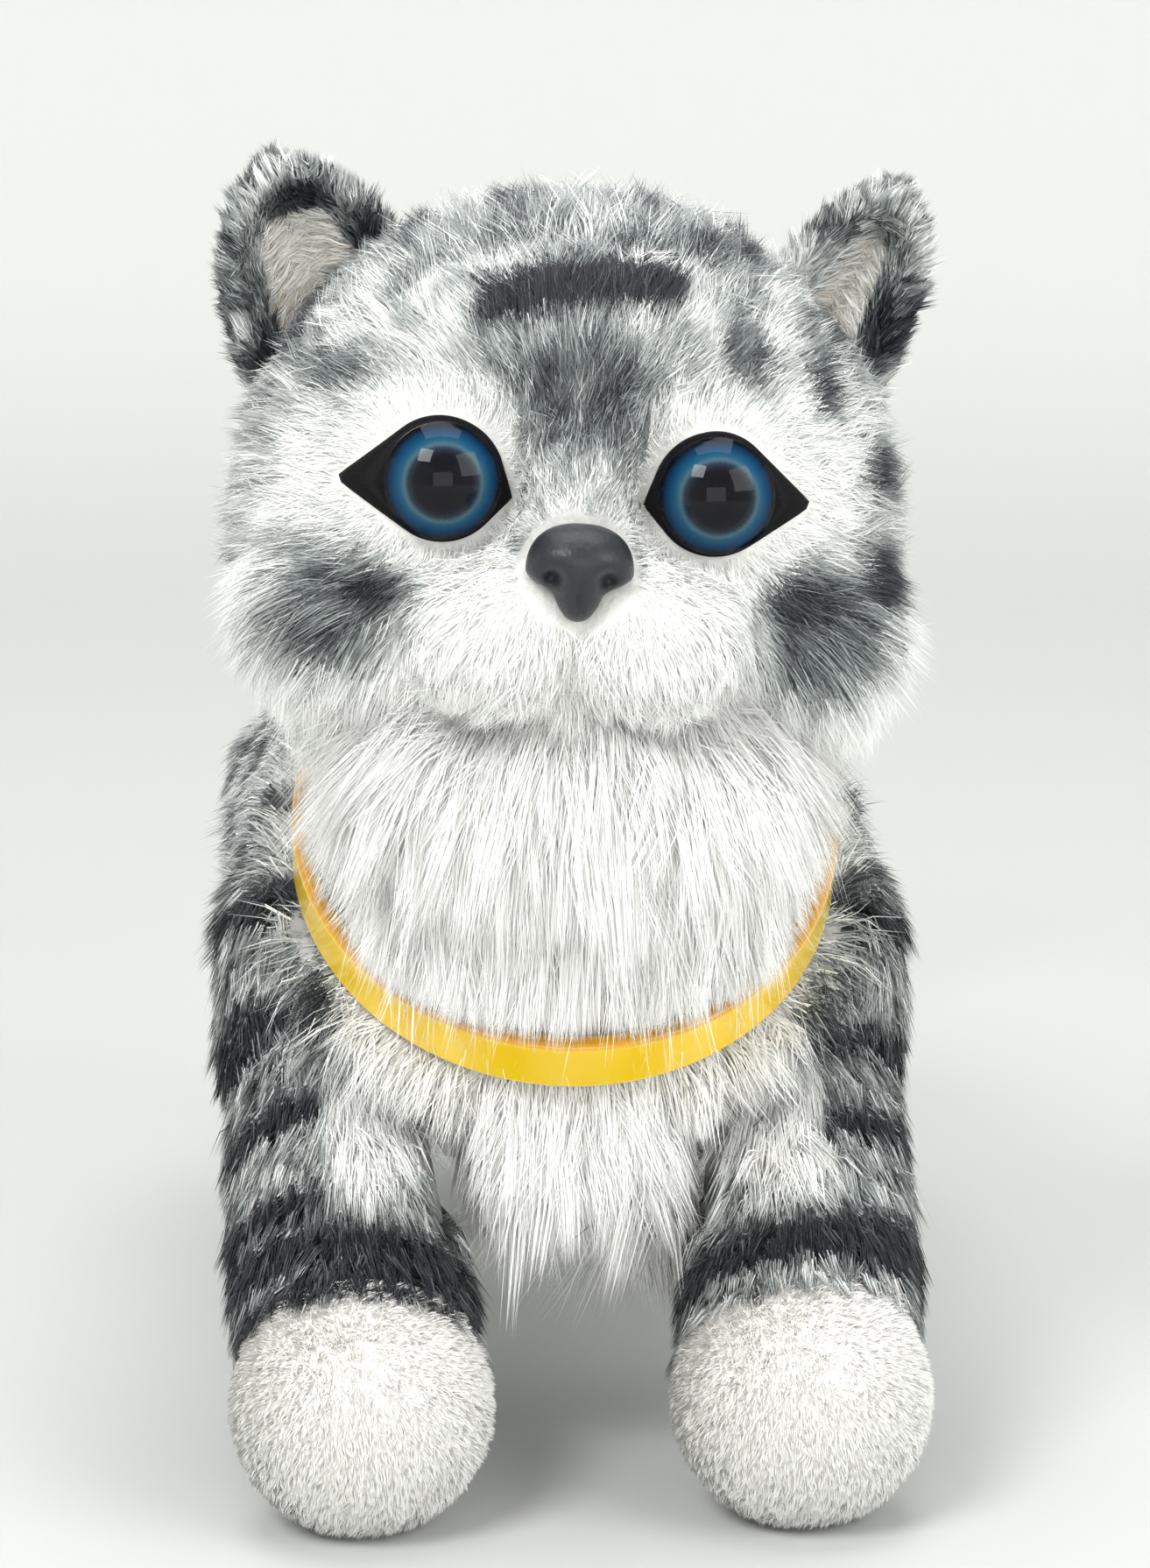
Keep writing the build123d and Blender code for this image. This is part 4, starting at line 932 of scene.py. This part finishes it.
def ear_sheet(side):
    """The ear as a thin cupped shell, open to the front with its top curling forwards."""
    root, across, up, front = ear_frame(side)
    columns, rows = 24, 26
    points = []
    for j in range(rows + 1):
        t = j / rows
        wide = ear_half_width[side] * math.sqrt(max(1 - t**3.4, 0.0)) * (1 - 0.10 * t)
        for i in range(columns + 1):
            s = 2 * i / columns - 1
            deep = ear_cup * (1 - s * s) * (1 - 0.45 * t) - ear_curl * t * t
            drop = 2.5 * s * s * t
            points.append(root + across * wide * s + up * (ear_height * t - drop) - front * deep)
    faces = quads(rows + 1, columns + 1, closed=False)
    return thickened(add_object("sheet", mesh_from("sheet", from_head(np.array(points)), faces)), 2.4)


def ear_places(side, spots, normals):
    """Each spot's place across and up the ear, and how much its skin faces the front."""
    root, across, up, front = ear_frame(side)
    local = to_head(spots) - root
    return local @ across, local @ up, (normals @ head_turn) @ front


def ear_pattern(side, spots, normals):
    """Darkness of the ear's fur and whether a spot is in its beige inside."""
    a, b, facing = ear_places(side, spots, normals)
    inside = (facing > 0.25) & (np.abs(a) < 0.74 * ear_half_width[side] - 0.14 * b) & (b < 23)
    dark = 0.50 + 0.22 * ripple(spots, 9, 41)
    if side == "left":
        for centre, radii in (((-8, 14), (4.5, 5)), ((8, 20), (4, 5)), ((-11, 6), (4, 4)), ((2, 26), (5, 3))):
            dark = dark + 0.42 * blot(a, b, centre, radii)
    else:
        dark = dark - 0.12 + 0.65 * blot(a, b, (7.5, 16), (4.5, 9), 0.2) + 0.3 * blot(a, b, (-6, 24), (4, 3))
    return np.clip(dark, 0, 1), inside


for side in ("left", "right"):
    sheet = ear_sheet(side)
    skin = fused(f"{side}_ear_skin", [sheet.data], 0.8, 3)
    bpy.data.objects.remove(sheet)
    spots, normals = vertices_of(skin.data)
    dark, inside = ear_pattern(side, spots, normals)
    paint_tone(skin, np.where(inside, 0.25, dark))
    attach(skin, "head")
    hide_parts(f"{side}_ear")

    def ear_field(spots, normals):
        dark, inside = ear_pattern(side, spots, normals)
        a, b, _ = ear_places(side, spots, normals)
        _, across, up, _ = ear_frame(side)
        comb = up + np.outer(a / 20.0, across)
        comb = np.where(inside[:, None], comb * 0.6 + np.outer(-np.sign(a), across), comb)
        comb = comb @ head_turn.T
        buried = np.linalg.norm(to_head(spots) / [46, 42, 42], axis=1) < 1.0
        length = np.where(inside, 4.5, 5.0)
        keep = np.where(buried, 0.0, np.where(inside, 0.75, 1.0))
        pick = np.random.default_rng(91).random(len(spots))
        fixed = np.where(inside, np.where(pick < 0.25, BEIGE, np.where(pick < 0.7, CREAM, 1)), -1)
        return coat(keep, comb, 30, length, fixed)

    def ear_shade(spots):
        return ear_pattern(side, spots, np.tile(BACK, (len(spots), 1)))[0]

    grow(f"{side}_ear_fur", skin, 40000, 500 + (side == "left"), "head", ear_field, ear_shade, droop=0.0)


# Eyes
# how far out each iris colour lies, as a share of the eye's radius, from the pupil to the black rim
IRIS_STOPS = ((0.0, (0.002, 0.002, 0.003)), (0.52, (0.006, 0.006, 0.009)), (0.62, (0.016, 0.024, 0.036)),
              (0.69, (0.050, 0.100, 0.130)), (0.75, (0.012, 0.070, 0.125)), (0.84, (0.003, 0.042, 0.105)),
              (0.94, (0.001, 0.016, 0.045)), (0.98, (0.001, 0.002, 0.005)))


def iris_material(side):
    """A painted iris seen through the polished dome: dark pupil, pale ring, deep blue ring, black rim."""
    made, shader = new_material(f"{side}_iris", (0.02, 0.1, 0.2), 0.3, Coat_Weight=0.32,
                                Coat_Roughness=0.015, Specular_IOR_Level=0.0)
    tree = made.node_tree
    middle = from_head([eye_spots[side]])[0] * MM
    place = add_node(tree, "TexCoord", {}, "Object")
    shifted = add_node(tree, "VectorMath", {0: place, 1: middle}, "Vector", operation="SUBTRACT")
    split = add_node(tree, "SeparateXYZ", {"Vector": shifted}).node.outputs
    flat = add_node(tree, "CombineXYZ", {"X": split["X"], "Z": split["Z"]}, "Vector")
    reach = add_node(tree, "VectorMath", {0: flat}, "Value", operation="LENGTH")
    angle = add_node(tree, "Math", {0: split["Z"], 1: split["X"]}, "Value", operation="ARCTAN2")
    spokes = add_node(tree, "CombineXYZ", {"X": angle}, "Vector")
    fibres = add_node(tree, "TexNoise", {"Scale": 14, "Detail": 5, "Vector": spokes}, "Fac")
    share = add_node(tree, "Math", {0: reach, 1: 1 / (eye_radius * MM)}, "Value", operation="MULTIPLY")
    wobble = add_node(tree, "Math", {0: fibres, 1: 0.06, 2: share}, "Value", operation="MULTIPLY_ADD")
    ramp = add_node(tree, "ValToRGB", {"Fac": wobble}, "Color")
    elements = ramp.node.color_ramp.elements
    for k, (place_at, colour) in enumerate(IRIS_STOPS):
        stop = elements[k] if k < 2 else elements.new(place_at)
        stop.position = place_at
        stop.color = (*colour, 1)
    feed(tree, shader.inputs["Base Color"], ramp)
    return made


def dress(node, material):
    """Gives a CAD node a better material."""
    mesh = frame["nodes"][node].data
    mesh.materials.clear()
    mesh.materials.append(material)


for side in ("left", "right"):
    dress(f"{side}_eye_lens", iris_material(side))


# Moulded, metal and printed parts
finishes = {
    "white_shell": grained("shell_plastic", (0.74, 0.74, 0.71), 0.45, 900, 0.35),
    "black_shell": grained("black_plastic", (0.03, 0.03, 0.032), 0.42, 900, 0.35),
    "gear_plastic": grained("acetal", (0.80, 0.77, 0.66), 0.35, 500, 0.15),
    "lever_plastic": grained("grey_acetal", (0.36, 0.38, 0.41), 0.38, 500, 0.15),
    "steel": grained("drawn_steel", (0.60, 0.60, 0.62), 0.28, 1500, 0.2, Metallic=1.0),
    "screw_steel": grained("zinc_plate", (0.52, 0.52, 0.55), 0.36, 1200, 0.25, Metallic=1.0),
    "motor_can": grained("motor_can", (0.58, 0.58, 0.58), 0.32, 700, 0.2, Metallic=1.0),
    "cell_wrap": grained("cell_sleeve", (0.03, 0.09, 0.06), 0.28, 400, 0.1, Coat_Weight=0.4),
    "contact_metal": grained("nickel", (0.70, 0.68, 0.62), 0.25, 1200, 0.2, Metallic=1.0),
    "board": grained("solder_mask", (0.02, 0.16, 0.06), 0.32, 1500, 0.4),
    "speaker_metal": grained("speaker_frame", (0.30, 0.30, 0.31), 0.4, 800, 0.25, Metallic=1.0),
    "copper": grained("foil", (0.72, 0.38, 0.22), 0.3, 1500, 0.3, Metallic=1.0),
    "eye_black": grained("eye_cup", (0.012, 0.012, 0.014), 0.15, 900, 0.05, Coat_Weight=0.6),
    "collar_yellow": grained("collar_yellow", (0.84, 0.55, 0.008), 0.22, 260, 0.06, spread=0.05,
                             shade=0.035, Coat_Weight=0.5, Coat_Roughness=0.08),
}
# the collar's upper rim and inner wall are painted a deeper orange than its outer face: painted shade, standing in
# for the shadow the fur above casts on them
rim_tree = finishes["collar_yellow"].node_tree
rim_up = (0.0, -math.sin(collar_slope), math.cos(collar_slope))
rim_level = float(collar_middle @ rim_up) + band_half_height
rim_place = add_node(rim_tree, "TexCoord", {}, "Object")
rim_height = add_node(rim_tree, "VectorMath", {0: rim_place, 1: rim_up}, "Value", operation="DOT_PRODUCT")
rim_ends = {"From Min": (rim_level - 0.9) * MM, "From Max": (rim_level - 0.4) * MM}
rim_shade_share = add_node(rim_tree, "MapRange", {**rim_ends, "Value": rim_height}, "Result")
rim_colour = rim_tree.nodes["Principled BSDF"].inputs["Base Color"]
rim_painted_shade = add_node(rim_tree, "Mix", {"A": rim_colour.links[0].from_socket, "B": (0.62, 0.30, 0.006, 1),
                                     "Factor": rim_shade_share}, "Result", data_type="RGBA")
feed(rim_tree, rim_colour, rim_painted_shade)

for part in frame["record"]["subparts"]:
    finish = finishes.get(part["material_slot"])
    if finish:
        dress(part["node"], finish)


# Tail
tail_skin = fused("tail_skin", [node_mesh("tail_cover")], 1.2, 5)
tail_low = box_mm("tail_cover")[0]
tail_bend = 45.5
tail_hub = np.array([0.0, tail_low[1], tail_low[2] + 9.0 + tail_bend])


def tail_places(spots):
    """How far round the tail's bend each spot is in millimetres, and the direction to the tip there."""
    y, z = spots[:, 1] - tail_hub[1], spots[:, 2] - tail_hub[2]
    turn = np.arctan2(z, y) + math.pi / 2
    ahead = np.stack([np.zeros(len(turn)), np.cos(turn), np.sin(turn)], axis=1)
    return turn * tail_bend, ahead


def tail_dark(spots):
    """The printed pattern of the tail: dark rings and a black tip."""
    along, _ = tail_places(spots)
    rings = bands(along, 0.3 * spots[:, 0], 0.5 * ripple(spots, 25, 51), 15.0)
    end = smooth_step(74, 84, along)
    return np.clip(0.44 + 0.08 * ripple(spots, 8, 52) + 0.52 * np.maximum(rings, end), 0, 1)


def tail_field(spots, normals):
    """Fur along the tail, with none on the cover's hidden inner face."""
    along, ahead = tail_places(spots)
    out = np.hypot(spots[:, 1] - tail_hub[1], spots[:, 2] - tail_hub[2]) - tail_bend
    keep = np.where(np.hypot(spots[:, 0], out) > 6.0, 1.0, 0.0)
    return coat(keep, ahead, 26, 9.0)


paint_tone(tail_skin, tail_dark(vertices_of(tail_skin.data)[0]))
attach(tail_skin, "tail")
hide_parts("tail_cover")
grow("tail_fur", tail_skin, 78000, 600, "tail", tail_field, tail_dark, droop=0.0)


# Ruff: the long white fur from the chin down to the collar
ruff_forms = [((0, -99, 92), (34, 15, 20)), ((0, -109, 107), (28, 15, 13)), ((-20, -92, 98), (18, 14, 16)),
              ((20, -92, 98), (18, 14, 16))]
ruff_skin = fused("ruff_skin", [ball_mesh(centre, radii) for centre, radii in ruff_forms], 1.4, 6)
places, _ = vertices_of(ruff_skin.data)
out, above = collar_places(places)
room = 0.86 + 0.012 * np.clip(above - 6, 0, 14) - 0.01 * np.clip(-above - 4, 0, 14)
pull = (1 - np.minimum(room / np.maximum(out, 0.01), 1))[:, None]
slope = np.array([0.0, -math.sin(collar_slope), math.cos(collar_slope)])
inward = collar_middle + above[:, None] * slope - places
places = places + inward * pull
reach_out = 32 + 6 * smooth_step(98, 106, places[:, 2])
places[:, 0] = np.sign(places[:, 0]) * reach_out * np.tanh(np.abs(places[:, 0]) / reach_out * 1.1)
move_vertices(ruff_skin.data, places)
paint_tone(ruff_skin, np.full(len(ruff_skin.data.vertices), 0.0))


def ruff_field(spots, normals):
    """Long strands falling down the front of the throat and fanning out a little at the sides."""
    x, y, z = spots.T
    comb = np.stack([0.012 * x - 0.05, np.full(len(x), -0.02), np.full(len(x), -1.0)], axis=1)
    shown = np.where((y < -80) & (collar_places(spots)[1] > -3), 1.0, 0.0)
    return coat(shown, comb, 15, 20.0)


ruff_pieces = [ruff_skin]
for part in range(2):
    ruff_pieces.append(grow(f"ruff_fur_{part + 1}", ruff_skin, 60000, 700 + part, None, ruff_field,
                            plain_white, width=0.22, clump=0.5, droop=0.5, spacing=24,
                            soft=2.0, over_band=0.05, ragged=0.3))
for piece in ruff_pieces:
    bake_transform(piece)


def chest_field(spots, normals):
    """Long tufts hanging from the chest between the forelegs, two of them longer than the rest."""
    x, y, z = spots.T
    shown = (y < -80) & (z > 40) & (z < 64)
    comb = np.stack([0.026 * x, np.full(len(x), -0.35), np.full(len(x), -1.0)], axis=1)
    tufts = blot(x, z, (-5, 52), (5, 12)) + blot(x, z, (9, 50), (6, 14))
    kept = shown * fade(18, 30, np.abs(x))
    return coat(kept, comb, 14, 10 + 12 * np.clip(tufts, 0, 1))


grow("chest_fur", body_skin, 420000, 800, "body", chest_field, plain_white, width=0.22, clump=0.6,
     droop=0.5, spacing=30, soft=2.0, ragged=0.35)


# Camera, light and floor
target = Vector((0.0008, head_centre[1] * MM, 0.102))
camera_data = bpy.data.cameras.new("camera")
camera_data.lens = 93.6
camera = bpy.data.objects.new("camera", camera_data)
scene.collection.objects.link(camera)
distance, rise, swing = 0.600, math.radians(9), math.radians(-3.5)
camera.location = target + distance * Vector((math.sin(swing) * math.cos(rise),
                                              -math.cos(swing) * math.cos(rise), math.sin(rise)))
camera.rotation_euler = (target - camera.location).to_track_quat("-Z", "Y").to_euler()
camera_data.clip_start = 0.01
scene.camera = camera
toy_middle = Vector((0, -0.02, 0.09))


def soft_light(name, place, size, power):
    """A square area light aimed at the middle of the toy."""
    lamp = bpy.data.lights.new(name, "AREA")
    lamp.size = size
    lamp.energy = power
    made = bpy.data.objects.new(name, lamp)
    scene.collection.objects.link(made)
    made.location = place
    made.rotation_euler = (toy_middle - made.location).to_track_quat("-Z", "Y").to_euler()


soft_light("key", (-0.55, -0.85, 0.95), size=0.45, power=10)
soft_light("fill", (0.75, -0.75, 0.60), size=0.7, power=6)
soft_light("top", (0.0, 0.1, 1.2), size=0.9, power=9)
soft_light("low", (0.0, -1.15, 0.12), size=0.6, power=2.4)
world = bpy.data.worlds.new("studio")
world.use_nodes = True
world.node_tree.nodes["Background"].inputs["Color"].default_value = (0.95, 0.97, 0.94, 1)
world.node_tree.nodes["Background"].inputs["Strength"].default_value = 0.5
scene.world = world
scene.view_settings.view_transform = "Standard"

# a round pale floor that curves up into a wall on every side, its rings given by (radius, height)
floor_middle_y = -50.0
floor_rings = [(400, 0), (900, 0), (1200, 0), (1450, 30), (1600, 150), (1680, 400), (1700, 900)]
segments = 64
floor_points = [(radius * math.cos(2 * math.pi * k / segments),
                 radius * math.sin(2 * math.pi * k / segments) + floor_middle_y, z)
                for radius, z in floor_rings for k in range(segments)] + [(0, floor_middle_y, 0)]
floor_faces = [(segments * len(floor_rings), k, (k + 1) % segments) for k in range(segments)]
floor_faces += [(a, d, c, b) for a, b, c, d in quads(len(floor_rings), segments)]
floor_mesh = mesh_from("floor", floor_points, floor_faces)
# its colour under the toy and by the wall, and how far out in metres the change begins and ends; the change is
# painted light, darker under the toy where the lamps fall strongest and paler towards the wall where their light
# falls off
FLOOR_NEAR, FLOOR_FAR = (0.60, 0.61, 0.595), (0.88, 0.89, 0.87)
painted_light_start, painted_light_end = 0.35, 1.5
floor_paper = grained("floor_paper", FLOOR_NEAR, 0.7, 30, 0.05)
tree = floor_paper.node_tree
place = add_node(tree, "NewGeometry", {}, "Position")
reach = add_node(tree, "VectorMath", {0: place}, "Value", operation="LENGTH")
# painted light: the floor runs paler with distance from the origin, standing in for the lamps' light falling off
# there
painted_light_share = add_node(tree, "MapRange", {"From Min": painted_light_start, "From Max": painted_light_end, "Value": reach}, "Result")
painted_light_mix = add_node(tree, "Mix", {"A": (*FLOOR_NEAR, 1), "B": (*FLOOR_FAR, 1), "Factor": painted_light_share}, "Result",
                data_type="RGBA")
feed(tree, tree.nodes["Principled BSDF"].inputs["Base Color"], painted_light_mix)
floor = add_object("floor", floor_mesh, floor_paper)
curve = floor.modifiers.new("curve", "SUBSURF")
curve.levels = curve.render_levels = 2
floor.data.shade_smooth()
